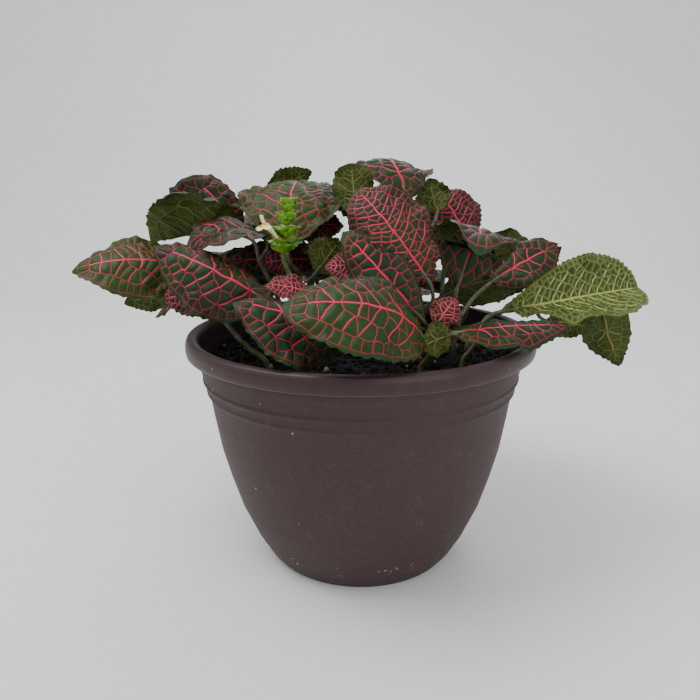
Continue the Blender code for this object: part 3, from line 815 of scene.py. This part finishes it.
def add_shoot(body, shoot, styles, rng, slots):
    """A leafy stem: stem, leaf stalks that run on under the midribs, and fine blades."""
    stem = fine_curve(stem_points(shoot))
    radii = np.linspace(STEM_RADIUS, STEM_TAPER * STEM_RADIUS, len(stem)) * STEM_SHARE
    radii = radii + NODE_SWELL * np.linspace(0, 1, len(stem)) ** 12
    ground = soil_height(*shoot.path[0])
    add_tube(body, stem, radii, slots[2], rng, STEM_HAIRS, foot=ground)
    for leaf, style in zip(shoot.leaves, styles):
        stalk = fine_curve(petiole_points(leaf, stem))
        under = midrib(leaf, np.array([0.16, 0.24]))
        look = unit(facing(*leaf.face))
        points = np.concatenate([stalk, under - look * 0.5])
        radii = np.concatenate([np.linspace(*STALK_RADII, len(stalk)), STALK_END_RADII])
        add_tube(body, points, radii, slots[2], rng, STALK_HAIRS, 8)
        add_leaf(body, leaf, style, rng, slots)


# ---- growing the other shoots ----
def leaf_samples(leaf):
    """Points spread over the blade."""
    t, q = np.meshgrid(np.linspace(0.06, 1, 15), np.linspace(-1, 1, 9))
    return blade(leaf, t, q).reshape(-1, 3)


def shoot_samples(shoot):
    """Points along the stem and its leaf stalks."""
    stem = stem_points(shoot)
    lines = [stem] + [petiole_points(leaf, stem) for leaf in shoot.leaves]
    points = []
    for line in lines:
        line = np.array(line)
        for u in np.linspace(0, 1, 5)[:-1]:
            points.extend(line[:-1] * (1 - u) + line[1:] * u)
    return np.array(points)


def tree_of(groups):
    """A search tree over all the points of the groups."""
    points = np.concatenate(groups)
    tree = KDTree(len(points))
    for i, p in enumerate(points):
        tree.insert(p, i)
    tree.balance()
    return tree


def clear(points, tree, least):
    """Whether every one of points is at least that far from the tree's points."""
    return all(tree.find(p)[2] >= least for p in points)


def out_of_room(points):
    """Whether points come too near the rim or the soil, or into the plant's open side."""
    r = np.hypot(points[:, 0], points[:, 1])
    near_rim = (r > NEAR_RIM[0]) & (r < NEAR_RIM[1]) & (points[:, 2] < POT_HEIGHT + RIM_ROOM)
    low = points[:, 2] < np.where(r < INSIDE_RADIUS, SOIL_EDGE_Z + SOIL_ROOM, LOWEST_OUTSIDE)
    front = points[:, 1] < np.where(np.abs(points[:, 0]) < OPEN_SIDE_X, *OPEN_SIDE_Y)
    return bool((near_rim | low | front).any())


def draw_leaf(rng, top, azimuth, tier):
    """A leaf that the rule might set at the stem's top, its tip towards azimuth."""
    a = math.radians(azimuth + rng.uniform(-16, 16))
    dip = math.radians(tier.dip + rng.uniform(-14, 10))
    length = tier.length * rng.uniform(0.82, 1.12)
    out = level(a)
    base = top + out * rng.uniform(7, 16) + UP * rng.uniform(-2, 7)
    tip = base + length * (out * math.cos(dip) + UP * math.sin(dip))
    face = (math.degrees(a) + 90 + rng.uniform(-25, 25), rng.uniform(58, 84))
    curl = (rng.uniform(-34, -8), rng.uniform(-34, -8))
    return Leaf(base, tip, face, length * rng.uniform(0.30, 0.35), length * rng.uniform(0.1, 0.18),
                (rng.uniform(-6, 14),) * 2, curl, (0.7, 0.85))


def grown_shoots(front):
    """Shoots at the sides and the back, every leaf and stem clear of those before it."""
    rng = random.Random(SEED)
    leaves = [leaf_samples(leaf) for shoot in front for leaf in shoot.leaves]
    leaves.append(np.array([spike_axis(u) + d for u in (0, 0.5, 1) for d in 6 * np.eye(3)]))
    stems = [shoot_samples(shoot) for shoot in front]
    stems.append(shoot_samples(Shoot("", SPIKE_PATH, [])))
    shoots = []
    for number, tier in enumerate(TIERS):
        for k in range(tier.count):
            azimuth = tier.first + tier.step * k + rng.uniform(-4, 4)
            grow_shoot(f"shoot_back_{number}_{k}", azimuth, tier, rng, leaves, stems, shoots)
    return shoots


def grow_shoot(name, azimuth, tier, rng, leaves, stems, shoots):
    """Add one grown shoot if its stem and enough leaves find room."""
    blades = tree_of(leaves)
    stalks = tree_of(stems)
    for _ in range(TRIES):
        a = math.radians(azimuth + rng.uniform(-9, 9))
        out = level(a)
        root = out * (tier.root + rng.uniform(-4, 4))
        top = out * (tier.top + rng.uniform(-4, 4)) + UP * (tier.height + rng.uniform(-4, 4))
        middle = (root + top) / 2 + out * 2
        middle[2] = (SOIL_EDGE_Z + top[2]) / 2
        shoot = Shoot(name, [tuple(root[:2]), tuple(middle), tuple(top)], [])
        stem = shoot_samples(shoot)
        if clear(stem, blades, CLEAR_OF_STEMS) and clear(stem, stalks, 2 * CLEAR_OF_STEMS):
            break
    else:
        return
    for turn in LEAF_TURNS:
        for _ in range(TRIES):
            leaf = draw_leaf(rng, top, math.degrees(a) + turn, tier)
            points = leaf_samples(leaf)
            stalk = shoot_samples(shoot._replace(leaves=[leaf]))[len(stem):]
            if not out_of_room(points) and clear(points, blades, CLEAR_OF_LEAVES) and all(
                    clear(*pair, CLEAR_OF_STEMS)
                    for pair in ((points, stalks), (stalk, blades), (stalk, stalks))):
                shoot.leaves.append(leaf)
                blades = tree_of(leaves + [leaf_samples(leaf) for leaf in shoot.leaves])
                break
    if len(shoot.leaves) >= LEAST_LEAVES:
        leaves.extend(leaf_samples(leaf) for leaf in shoot.leaves)
        stems.append(shoot_samples(shoot))
        shoots.append(shoot)


def all_shoots():
    """The shoots in front with their inner leaves, then the grown ones."""
    grown = grown_shoots(FRONT_SHOOTS)
    front = [shoot._replace(leaves=shoot.leaves + INNER_LEAVES.get(shoot.name, []))
             for shoot in FRONT_SHOOTS]
    return front, grown


# ---- the flower spike ----
def spike_axis(u):
    """A point on the bracts' axis, u from 0 at its foot to 1 at its top."""
    return (1 - u) * np.array(SPIKE_FOOT) + u * np.array(SPIKE_TOP)


def spike_bracts(rng):
    """The bracts, in tiers of four that turn by an eighth, and buds between the tiers."""
    for tier in range(BRACT_TIERS):
        u = tier / (BRACT_TIERS - 1)
        for k in range(4):
            angle = 20 + 90 * k + 45 * (tier % 2)
            if tier < 2 and abs((angle - FLOWER_AZIMUTH + 180) % 360 - 180) < FLOWER_ROOM:
                continue
            out = level(math.radians(angle))
            base = spike_axis(u) + out * 0.6
            tip = base + unit(out + UP * (0.55 + 0.9 * u)) * (9.6 - 3.5 * u)
            half = 1.3 * (3.6 - u)
            yield Leaf(base, tip, (angle + 270, 40), half, 0.4, (9, 9), (2, 2), *BRACT_FORM)
    for i in range(4 * BUD_TIERS):
        tier, k = divmod(i, 4)
        u = (tier + 0.5) / BUD_TIERS
        angle = 20 + 45 * ((tier + 1) % 2) + 90 * k + rng.uniform(-14, 14)
        out = level(math.radians(angle))
        base = spike_axis(u) + out * 0.5
        rise = 0.5 + 1.5 * u * u + rng.uniform(-0.15, 0.2)
        tip = base + unit(out + UP * rise) * (9.4 - 3.6 * u) * rng.uniform(0.85, 1.05)
        yield Leaf(base, tip, (angle - 90, 40), 3.2 - 0.9 * u, 0.4, (10, 10), (4, 4), *BRACT_FORM)


# ---- the fine flower ----
BRACT_STEPS = 14
BRACT_SHEET = 0.13
GROOVE = 0.16
BRACT_HAIRS = 10
LOBES = ((-0.8, 4.6), (0, 5.4), (0.8, 4.6))


def add_blade(body, leaf, slot):
    """A small smooth blade with a fringed edge and a groove along its middle."""
    t, q = np.meshgrid(np.linspace(0.0, 1.0, BRACT_STEPS), np.linspace(-1, 1, 11))
    flat = blade(leaf, t, q * (1 + 0.05 * np.sin(40 * t)))
    normal = inner_normal(leaf, t, q)
    thick = BRACT_SHEET * (1 - q ** 4)[..., None] + EDGE_SHEET
    sink = GROOVE * np.exp(-(q / 0.18) ** 2)[..., None]
    verts = [flat + normal * (thick - sink), flat - normal * (thick + sink)]
    grid = np.arange(t.size).reshape(t.shape)
    starts = grid[:-1, :-1].ravel().tolist()
    faces = [(a, a + 1, a + BRACT_STEPS + 1, a + BRACT_STEPS) for a in starts]
    faces += [tuple(t.size + v for v in face[::-1]) for face in faces]
    rim = [*grid[0], *grid[1:, -1], *grid[-1, -2::-1], *grid[-2:0:-1, 0]]
    faces += [(b, a, t.size + a, t.size + b) for a, b in zip(rim, rim[1:] + rim[:1])]
    body.add(verts, faces, slot)


def make_fine_spike(mats):
    """The spike: its hairy stem, its bracts and the hairs on them."""
    rng = random.Random(7)
    body = Body()
    stem = fine_curve([*stem_points(Shoot("", SPIKE_PATH, [])), spike_axis(0.5), spike_axis(0.97)])
    radii = np.linspace(SPIKE_STEM_RADIUS, SPIKE_TOP_RADIUS, len(stem))
    add_tube(body, stem, radii, 1, rng, STEM_HAIRS, foot=SOIL_EDGE_Z)
    for bract in spike_bracts(rng):
        add_blade(body, bract, 0)
        for _ in range(BRACT_HAIRS):
            t, q = rng.uniform(0.2, 0.95), rng.choice((-0.95, 0.95))
            at = blade(bract, np.array([t]), np.array([q]))[0]
            add_hair(body, at, unit(np.array(bract.tip) - bract.base), 0.05, 0, rng)
    return body.object("flower_spike_fine", mats)


def make_fine_flower(mats):
    """The corolla: a curved tube with three lower lobes and a narrow upper lip."""
    rng = random.Random(8)
    out = level(math.radians(FLOWER_AZIMUTH))
    side = np.cross(UP, out)
    start = spike_axis(FLOWER_SHARE) + out * (1.3 + GAP)
    mouth = np.array(FLOWER_MOUTH, float)
    body = Body()
    tube = fine_curve([start, (start + mouth) / 2 + 1.2 * UP, mouth], 0.5)
    radii = 0.6 + 0.75 * np.linspace(0, 1, len(tube)) ** 2.5
    add_tube(body, tube, radii, 0, rng, FLOWER_HAIRS, 12)
    for turn, length in LOBES:
        tip = mouth + unit(out + turn * side - 0.35 * UP) * length
        lobe = Leaf(mouth - out * 0.8, tip, (154, 75), 1.9, 0.7, (4, 4), (0, 0), (0.8, 0.4), 0)
        add_blade(body, lobe, 0)
        patch = [mouth + 0.3 * UP, mouth + 0.6 * (tip - mouth) + 0.3 * UP]
        add_blade(body, lobe._replace(base=patch[0], tip=patch[1], half=0.9), 1)
    tip = mouth + unit(0.6 * out + 0.9 * UP) * 5.5
    lip = Leaf(mouth - out * 0.4, tip, (-26, -10), 1.0, 0.8, (0, 0), (0, 0), (0.6, 0.6), 0)
    add_blade(body, lip, 0)
    return body.object("flower_corolla_fine", mats)


# ---- materials ----
class Nodes:
    """A short way to write a material's nodes."""

    def __init__(self, name):
        self.mat = bpy.data.materials.new(name)
        self.mat.use_nodes = True
        self.tree = self.mat.node_tree
        self.shader = self.tree.nodes["Principled BSDF"]

    def add(self, kind, props=(), **inputs):
        """A node of that kind, with properties and inputs set or linked."""
        node = self.tree.nodes.new("ShaderNode" + kind)
        for key, value in dict(props).items():
            setattr(node, key, value)
        for key, value in inputs.items():
            self.put(node.inputs[int(key[1:])] if key[0] == "i" and key[1:].isdigit()
                     else node.inputs[key], value)
        return node

    def put(self, socket, value):
        """Set an input, or link an output to it. Colours are given as on screen, 0 to 255."""
        if isinstance(value, bpy.types.NodeSocket):
            self.tree.links.new(value, socket)
        elif socket.type == "RGBA":
            socket.default_value = (*[(c / 255) ** 2.2 for c in value], 1.0)
        else:
            socket.default_value = value

    def math(self, operation, a, b=0.0):
        """A Math node's output."""
        return self.add("Math", {"operation": operation}, i0=a, i1=b).outputs[0]

    def times(self, a, b):
        """The product of two values."""
        return self.math("MULTIPLY", a, b)

    def ramp(self, value, low, high, to=(0.0, 1.0)):
        """value taken from low..high to another range, smoothly."""
        node = self.add("MapRange", {"interpolation_type": "SMOOTHSTEP"}, i0=value, i1=low, i2=high,
                        i3=to[0], i4=to[1])
        return node.outputs[0]

    def mix(self, share, a, b):
        """A colour between a and b."""
        return self.add("Mix", {"data_type": "RGBA"}, i0=share, i6=a, i7=b).outputs[2]

    def noise(self, scale, detail=3.0, rough=0.5):
        """Noise in object space."""
        where = self.add("TexCoord").outputs["Object"]
        node = self.add("TexNoise", Vector=where, Scale=scale, Detail=detail, Roughness=rough)
        return node.outputs[0]

    def bump(self, height, strength, distance):
        """A bump from a height, set on the shader."""
        node = self.add("Bump", Strength=strength, Distance=distance, Height=height)
        self.put(self.shader.inputs["Normal"], node.outputs[0])

    def finish(self, color, roughness):
        """Set the shader's colour and roughness."""
        self.put(self.shader.inputs["Base Color"], color)
        self.put(self.shader.inputs["Roughness"], roughness)
        return self.mat


LIGHT_SHARE = 0.24


def vein_numbers(n):
    """Distance from the vein, its half width, the place along the leaf and the leaf's tone."""
    veins = n.add("Attribute", {"attribute_name": "veins"})
    parts = n.add("SeparateColor", i0=veins.outputs["Color"])
    return (*parts.outputs[:3], veins.outputs["Alpha"])


def blade_material(name, blade_colors, vein_colors, halo, rough):
    """A leaf side: colours of the blade, dark, plain, pillow (a painted highlight) and light, and
    of the veins.
    """
    n = Nodes(name)
    gap, width, along, tone = vein_numbers(n)
    broad = n.noise(70.0, 4.0)
    fine = n.noise(900.0, 2.0)
    edge = n.math("ADD", width, n.times(n.math("SUBTRACT", fine, 0.5), 0.12))
    over = n.math("SUBTRACT", gap, edge)
    bold = n.ramp(width, 0.04, 0.2, (0.45, 1.0))
    vein = n.times(n.ramp(over, 0.07, -0.07), bold)
    glow = n.ramp(over, 1.1, 0.0)
    green = n.mix(n.ramp(broad, 0.3, 0.7), blade_colors[0], blade_colors[1])
    # Painted highlight in each cell's middle, painted shade in the creases by the veins.
    green = n.mix(n.times(n.ramp(gap, 0.4, 2.4), 0.35), green, blade_colors[2])
    green = n.mix(n.times(n.ramp(tone, 0.0, -1.0), LIGHT_SHARE), green, blade_colors[3])
    speck = n.ramp(n.noise(1500.0, 1.0), 0.35, 0.75)
    green = n.mix(n.times(speck, 0.25), green, blade_colors[0])
    green = n.mix(n.times(glow, halo), green, vein_colors[1])
    pink = n.mix(n.ramp(along, 0.0, 0.45), vein_colors[0], vein_colors[1])
    pink = n.mix(n.times(n.ramp(tone, 0.2, 1.0), 0.5), pink, vein_colors[2])
    pink = n.mix(n.times(n.ramp(broad, 0.35, 0.75), 0.3), pink, vein_colors[0])
    n.bump(n.math("ADD", n.times(fine, 0.5), n.ramp(over, 0.5, -0.1)), 0.35, 0.0004)
    n.shader.inputs["Specular IOR Level"].default_value = 0.22
    return n.finish(n.mix(vein, green, pink), rough)


def mottled(name, dark, light, scale, roughness, bump=0.3, depth=0.0004):
    """A matt stuff of two colours."""
    n = Nodes(name)
    grain = n.noise(scale, 6.0, 0.6)
    n.bump(grain, bump, depth)
    return n.finish(n.mix(n.ramp(grain, 0.3, 0.72), dark, light), roughness)


def leaf_materials():
    """The upper side, the under side and the stem; then the pale leaf's two sides."""
    top = blade_material(
        "leaf_top", ((12, 36, 16), (24, 55, 22), (36, 72, 28), (62, 98, 28)),
        ((190, 14, 50), (228, 32, 92), (230, 66, 112)), 0.04, 0.48)
    under = blade_material(
        "leaf_under", ((44, 56, 20), (66, 78, 28), (74, 88, 34), (90, 100, 40)),
        ((118, 112, 62), (124, 118, 66), (130, 112, 70)), 0.05, 0.6)
    stem = mottled("stem_hairy", (62, 62, 40), (104, 102, 74), 260.0, 0.6)
    pale_top = blade_material(
        "leaf_top_pale", ((64, 92, 44), (96, 124, 60), (110, 138, 72), (110, 138, 72)),
        ((170, 150, 90), (186, 176, 120), (200, 120, 110)), 0.1, 0.5)
    pale_under = blade_material(
        "leaf_under_pale", ((40, 60, 16), (60, 80, 26), (54, 76, 22), (60, 80, 26)),
        ((158, 162, 86), (166, 170, 98), (158, 152, 88)), 0.2, 0.55)
    return [top, under, stem, pale_top, pale_under]


# Small pale specks on the pot: cells per metre, the share left plain, size and colour.
POT_SPECKS = ((210.0, 0.975, 0.11, (176, 166, 150)), (430.0, 0.985, 0.16, (150, 132, 110)))


def specked(n, where, color, scale, share, size, tint):
    """The colour with a speck in some of the cells."""
    cells = n.add("TexVoronoi", {"feature": "F1"}, Vector=where, Scale=scale)
    pick = n.add("SeparateColor", i0=cells.outputs["Color"]).outputs[0]
    pick = n.ramp(pick, share, share + 0.004)
    speck = n.times(n.ramp(cells.outputs["Distance"], size, 0.6 * size), pick)
    return n.mix(speck, color, tint)


def pot_material():
    """Brown moulded plastic, its rim darker, with dust, pale specks and a few crumbs low down."""
    n = Nodes("pot_plastic")
    where = n.add("TexCoord").outputs["Object"]
    x, y, height = n.add("SeparateXYZ", Vector=where).outputs
    radius = n.math("SQRT", n.math("ADD", n.times(x, x), n.times(y, y)))
    cloud = n.noise(22.0, 5.0)
    grain = n.noise(1100.0, 3.0, 0.7)
    color = n.mix(cloud, (52, 37, 36), (62, 45, 43))
    color = n.mix(n.times(n.ramp(grain, 0.4, 0.75), 0.35), color, (84, 66, 62))
    dust = n.ramp(n.noise(160.0, 8.0, 0.75), 0.55, 0.8)
    color = n.mix(n.times(dust, 0.3), color, (116, 100, 94))
    stretch = n.add("Mapping", Vector=where, Scale=(260.0, 260.0, 18.0)).outputs[0]
    streak = n.add("TexNoise", Vector=stretch, Scale=1.0, Detail=3.0).outputs[0]
    rim = n.ramp(height, RIM_MARK * MM, (RIM_MARK + 0.6) * MM)
    color = n.mix(rim, color, n.mix(streak, (44, 27, 27), (62, 40, 39)))
    # Painted highlight: a pale line along the outside of the rim's lower edge.
    lip_highlight = n.ramp(height, (RIM_MARK + 1.0) * MM, (RIM_MARK + 0.5) * MM)
    outside = n.ramp(radius, (RIM_RADIUS - 2) * MM, (RIM_RADIUS - 1.5) * MM, (0.0, 0.7))
    lip_highlight = n.times(n.times(lip_highlight, rim), outside)
    color = n.mix(lip_highlight, color, (118, 96, 90))
    for speck in POT_SPECKS:
        color = specked(n, where, color, *speck)
    low = n.times(n.ramp(height, 0.017, 0.014), n.ramp(height, 0.009, 0.012))
    bits = n.times(n.ramp(n.noise(420.0, 2.0, 0.6), 0.62, 0.67), low)
    bits = n.times(bits, n.ramp(n.noise(38.0, 2.0), 0.48, 0.56))
    color = n.mix(bits, color, (168, 146, 100))
    relief = n.math("ADD", grain, n.times(bits, 3.0))
    n.bump(relief, 0.22, 0.0004)
    rough = n.math("SUBTRACT", n.ramp(cloud, 0.2, 0.8, (0.58, 0.68)), n.times(rim, 0.2))
    n.shader.inputs["Specular IOR Level"].default_value = 0.4
    return n.finish(color, rough)


# ---- pot, soil and crumbs ----
FINE_SEGMENTS = 144
CORNER_CUT = 0.28
SHARP_ANGLE = 40
RIM_MARK = 106.9
SOIL_RINGS = 40
SOIL_SPOKES = 150
CRUMBS = 2600
CRUMB_SIZES = (0.5, 0.7, 0.9, 1.3, 1.9)
PALE_CRUMBS = 0.03


def turned_mesh(section, segments):
    """Vertices and faces of a closed solid turned round the Z axis."""
    verts = [(0, 0, section[0][1]), (0, 0, section[-1][1])]
    for r, z in section[1:-1]:
        verts += circle(r, z, segments)
    faces = ring_faces(2, len(section) - 2, segments)
    last = len(verts) - segments
    for k in range(segments):
        k1 = (k + 1) % segments
        faces += [(0, 2 + k, 2 + k1), (1, last + k1, last + k)]
    return verts, faces


def eased(section, keep):
    """The section with each corner of its wall cut round."""
    points = [np.array(section[0], float)]
    for a, b, c in zip(section, section[1:], section[2:]):
        a, b, c = (np.array(p, float) for p in (a, b, c))
        for other in (a, c):
            gap = np.linalg.norm(other - b)
            points.append(b + (other - b) * min(keep, 0.3 * gap) / gap)
    points.append(np.array(section[-1], float))
    return points


def make_pot(mat):
    """The pot, turned finely, with its hanger notches and drain holes."""
    section = eased([(0, FLOOR_Z), *POT_INSIDE, *POT_RIM, *POT_OUTSIDE, (0, 0)], CORNER_CUT)
    body = Body()
    body.add(*turned_mesh(section, FINE_SEGMENTS), 0)
    pot = body.object("pot_fine", [mat], SHARP_ANGLE)
    for k, (verts, faces) in enumerate(pot_cutters()):
        tool = Body()
        tool.add(verts, faces, 0)
        cutter = tool.object(f"pot_cutter_{k}", [mat])
        boolean = pot.modifiers.new("cut", "BOOLEAN")
        boolean.operation = "DIFFERENCE"
        boolean.object = cutter
        apply_modifiers(pot)
        bpy.data.objects.remove(cutter)
    return pot


def apply_modifiers(obj):
    """Turn the object's modifiers into its mesh."""
    graph = bpy.context.evaluated_depsgraph_get()
    mesh = bpy.data.meshes.new_from_object(obj.evaluated_get(graph))
    obj.modifiers.clear()
    obj.data = mesh


def pot_cutters():
    """The drain holes and the hanger notches, as solids to cut away."""
    for k in range(DRAIN_COUNT):
        place = DRAIN_CIRCLE * level(2 * math.pi * (k + 0.5) / DRAIN_COUNT)
        yield tube_solid([place - 3 * UP, place + 6 * UP], (DRAIN_RADIUS,) * 2, 24)
    for azimuth in NOTCH_AZIMUTHS:
        ends = [r * level(math.radians(azimuth)) + NOTCH_Z * UP for r in NOTCH_RADII]
        yield tube_solid(ends, (NOTCH_WIDTH / math.sqrt(2),) * 2, 4)


def lump(rng, size):
    """A small rough crumb about its middle."""
    verts = []
    for z, r in ((-0.8, 0.5), (0.0, 1.0), (0.8, 0.5)):
        for k in range(5):
            grow = size * rng.uniform(0.6, 1.25)
            verts.append(grow * (r * level(2 * math.pi * (k + 0.5 * z) / 5) + z * UP))
    faces = [(4, 3, 2, 1, 0), (10, 11, 12, 13, 14)]
    faces += [(a, d, c, b) for a, b, c, d in ring_faces(0, 3, 5)]
    return np.array(verts), faces


def make_soil(mats):
    """The soil's body with a rough top, and loose crumbs on it."""
    rng = random.Random(3)
    verts = [(0, 0, soil_height(0, 0))]
    for i in range(1, SOIL_RINGS + 1):
        r = SOIL_RADIUS * i / SOIL_RINGS
        for x, y, _ in circle(r, 0, SOIL_SPOKES):
            rough = noise.fractal(Vector((x, y, 0)) * 0.22, 1.0, 2.0, 5) * 1.5
            fade = min(1.0, (SOIL_RADIUS - r) / 4)
            verts.append((x, y, soil_height(x, y) + rough * fade - 0.2))
    faces = [(0, 1 + k, 1 + (k + 1) % SOIL_SPOKES) for k in range(SOIL_SPOKES)]
    body = Body()
    body.add(verts, faces + ring_faces(1, SOIL_RINGS, SOIL_SPOKES), 0)
    skirt(body)
    for _ in range(CRUMBS):
        r = (SOIL_RADIUS - 1) * math.sqrt(rng.random())
        a = rng.uniform(0, 2 * math.pi)
        x, y = r * math.cos(a), r * math.sin(a)
        size = rng.choice(CRUMB_SIZES)
        points, lump_faces = lump(rng, size)
        place = np.array([x, y, soil_height(x, y) + 0.2 * size])
        body.add(points + place, lump_faces, 1 if rng.random() < PALE_CRUMBS else 0)
    return body.object("soil_fine", mats)


def skirt(body):
    """The soil's side and bottom, following the inside of the pot."""
    verts = body.verts[-SOIL_SPOKES:]
    for r, z in POT_INSIDE[-3::-1]:
        verts += circle(r - 1.2 * GAP, z + GAP, SOIL_SPOKES)
    faces = ring_faces(0, len(verts) // SOIL_SPOKES, SOIL_SPOKES)
    faces.append(tuple(range(len(verts) - 1, len(verts) - 1 - SOIL_SPOKES, -1)))
    body.add(verts, faces, 0)


# ---- the scene ----
EYE = (-5.1, -320.0, 187.0)
EYE_PITCH = 14.56
EYE_ROLL = 0.37
EYE_LENS = 33.94


def make_camera():
    """The camera at the plant's open side."""
    data = bpy.data.cameras.new("camera")
    data.lens = EYE_LENS
    data.sensor_width = 36.0
    camera = added("camera", data)
    tilt = Matrix.Rotation(math.radians(90 - EYE_PITCH), 4, "X")
    roll = Matrix.Rotation(math.radians(-EYE_ROLL), 4, "Z")
    camera.matrix_world = Matrix.Translation(Vector(EYE) * MM) @ tilt @ roll
    bpy.context.scene.camera = camera


def add_light(name, place, aim, size, power, color):
    """A soft area light."""
    data = bpy.data.lights.new(name, "AREA")
    data.size = size
    data.energy = power
    data.color = color
    light = added(name, data)
    light.location = place
    light.rotation_euler = (Vector(aim) - Vector(place)).to_track_quat("-Z", "Y").to_euler()


def make_studio():
    """A plain pale floor that curves up behind, and soft light; lengths here are metres."""
    profile = [(-7.0, 0.0), (0.7, 0.0)]
    for a in np.linspace(0, math.pi / 2, 13)[1:]:
        profile.append((0.7 + 0.5 * math.sin(a), 0.5 - 0.5 * math.cos(a)))
    profile.append((1.2, 2.2))
    verts = [(x, y, z) for y, z in profile for x in (-6.0, 6.0)]
    faces = [(2 * i, 2 * i + 1, 2 * i + 3, 2 * i + 2) for i in range(len(profile) - 1)]
    mesh = bpy.data.meshes.new("floor")
    mesh.from_pydata(verts, [], faces)
    mesh.shade_smooth()
    n = Nodes("floor_plain")
    mesh.materials.append(n.finish(n.mix(n.noise(3.0), (232, 232, 231), (238, 238, 237)), 0.55))
    added("floor", mesh)
    world = bpy.data.worlds.new("soft")
    world.use_nodes = True
    sky = world.node_tree.nodes["Background"].inputs
    sky[0].default_value, sky[1].default_value = (0.86, 0.88, 0.92, 1), 0.92
    bpy.context.scene.world = world
    add_light("window", (-0.5, -0.1, 1.1), (0, 0, 0.1), 0.6, 9.0, (1.0, 0.98, 0.95))
    add_light("room", (0.7, -0.9, 0.6), (0, 0, 0.1), 0.8, 4.0, (1.0, 0.97, 0.93))
    add_light("behind", (0.2, 0.9, 0.9), (0, 0, 0.15), 0.6, 3.0, (0.95, 0.98, 1.0))


# Shoots' leaves, by number, that aren't dressed by their size alone.
STYLES = {
    ("shoot_left", 0): LIGHT, ("shoot_top_left", 0): LIGHT,
    ("shoot_hero", 0): MATURE._replace(tone=-0.5),
    ("shoot_left", 2): FINE, ("shoot_front_left", 1): YOUNG, ("shoot_centre", 0): FINE,
    ("shoot_centre", 2): YOUNG, ("shoot_right_back", 0): FINE, ("shoot_hero", 3): YOUNG,
}
# The shoot with the pale leaf, and the shoot whose undersides look at the camera.
PALE = "shoot_far_right"
TURNED = "shoot_inner_right"


def dress_shoots(mats):
    """One fine piece for each leafy stem."""
    rng = random.Random(11)
    front, grown = all_shoots()
    for shoot in front + grown:
        body = Body()
        styles = [STYLES.get((shoot.name, i), MATURE if leaf.half > 10 else FINE)
                  for i, leaf in enumerate(shoot.leaves)]
        slots = (0, 1, 2)
        if shoot.name == TURNED:
            slots = (1, 0, 2)
        if shoot.name == PALE:
            slots = (3, 4, 2)
            styles = [SAGE] * len(styles)
        add_shoot(body, shoot, styles, rng, slots)
        place(body.object(shoot.name + "_fine", mats), "leaf_green", shoot.name)


def place(obj, slot, *nodes):
    """The piece stands for those nodes."""
    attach(obj, "root")
    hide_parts(*nodes)


def main():
    make_camera()
    make_studio()
    place(make_pot(pot_material()), "pot_brown", "pot")
    soil = mottled("soil_dark", (7, 6, 5), (26, 20, 16), 500.0, 0.95, 0.8, 0.001)
    bits = mottled("soil_bits", (96, 78, 56), (150, 130, 100), 300.0, 0.9)
    place(make_soil([soil, bits]), "soil_black", "soil")
    dress_shoots(leaf_materials())
    bract = mottled("bract_green", (74, 124, 24), (132, 180, 52), 240.0, 0.5)
    stalk = mottled("stalk_green", (70, 84, 36), (104, 116, 62), 260.0, 0.6)
    petal = mottled("petal_cream", (232, 224, 150), (248, 242, 204), 300.0, 0.5)
    throat = mottled("petal_throat", (214, 178, 40), (238, 212, 90), 400.0, 0.5)
    place(make_fine_spike([bract, stalk]), "bract_green", "flower_spike")
    place(make_fine_flower([petal, throat]), "corolla_cream", "flower_corolla")


main()
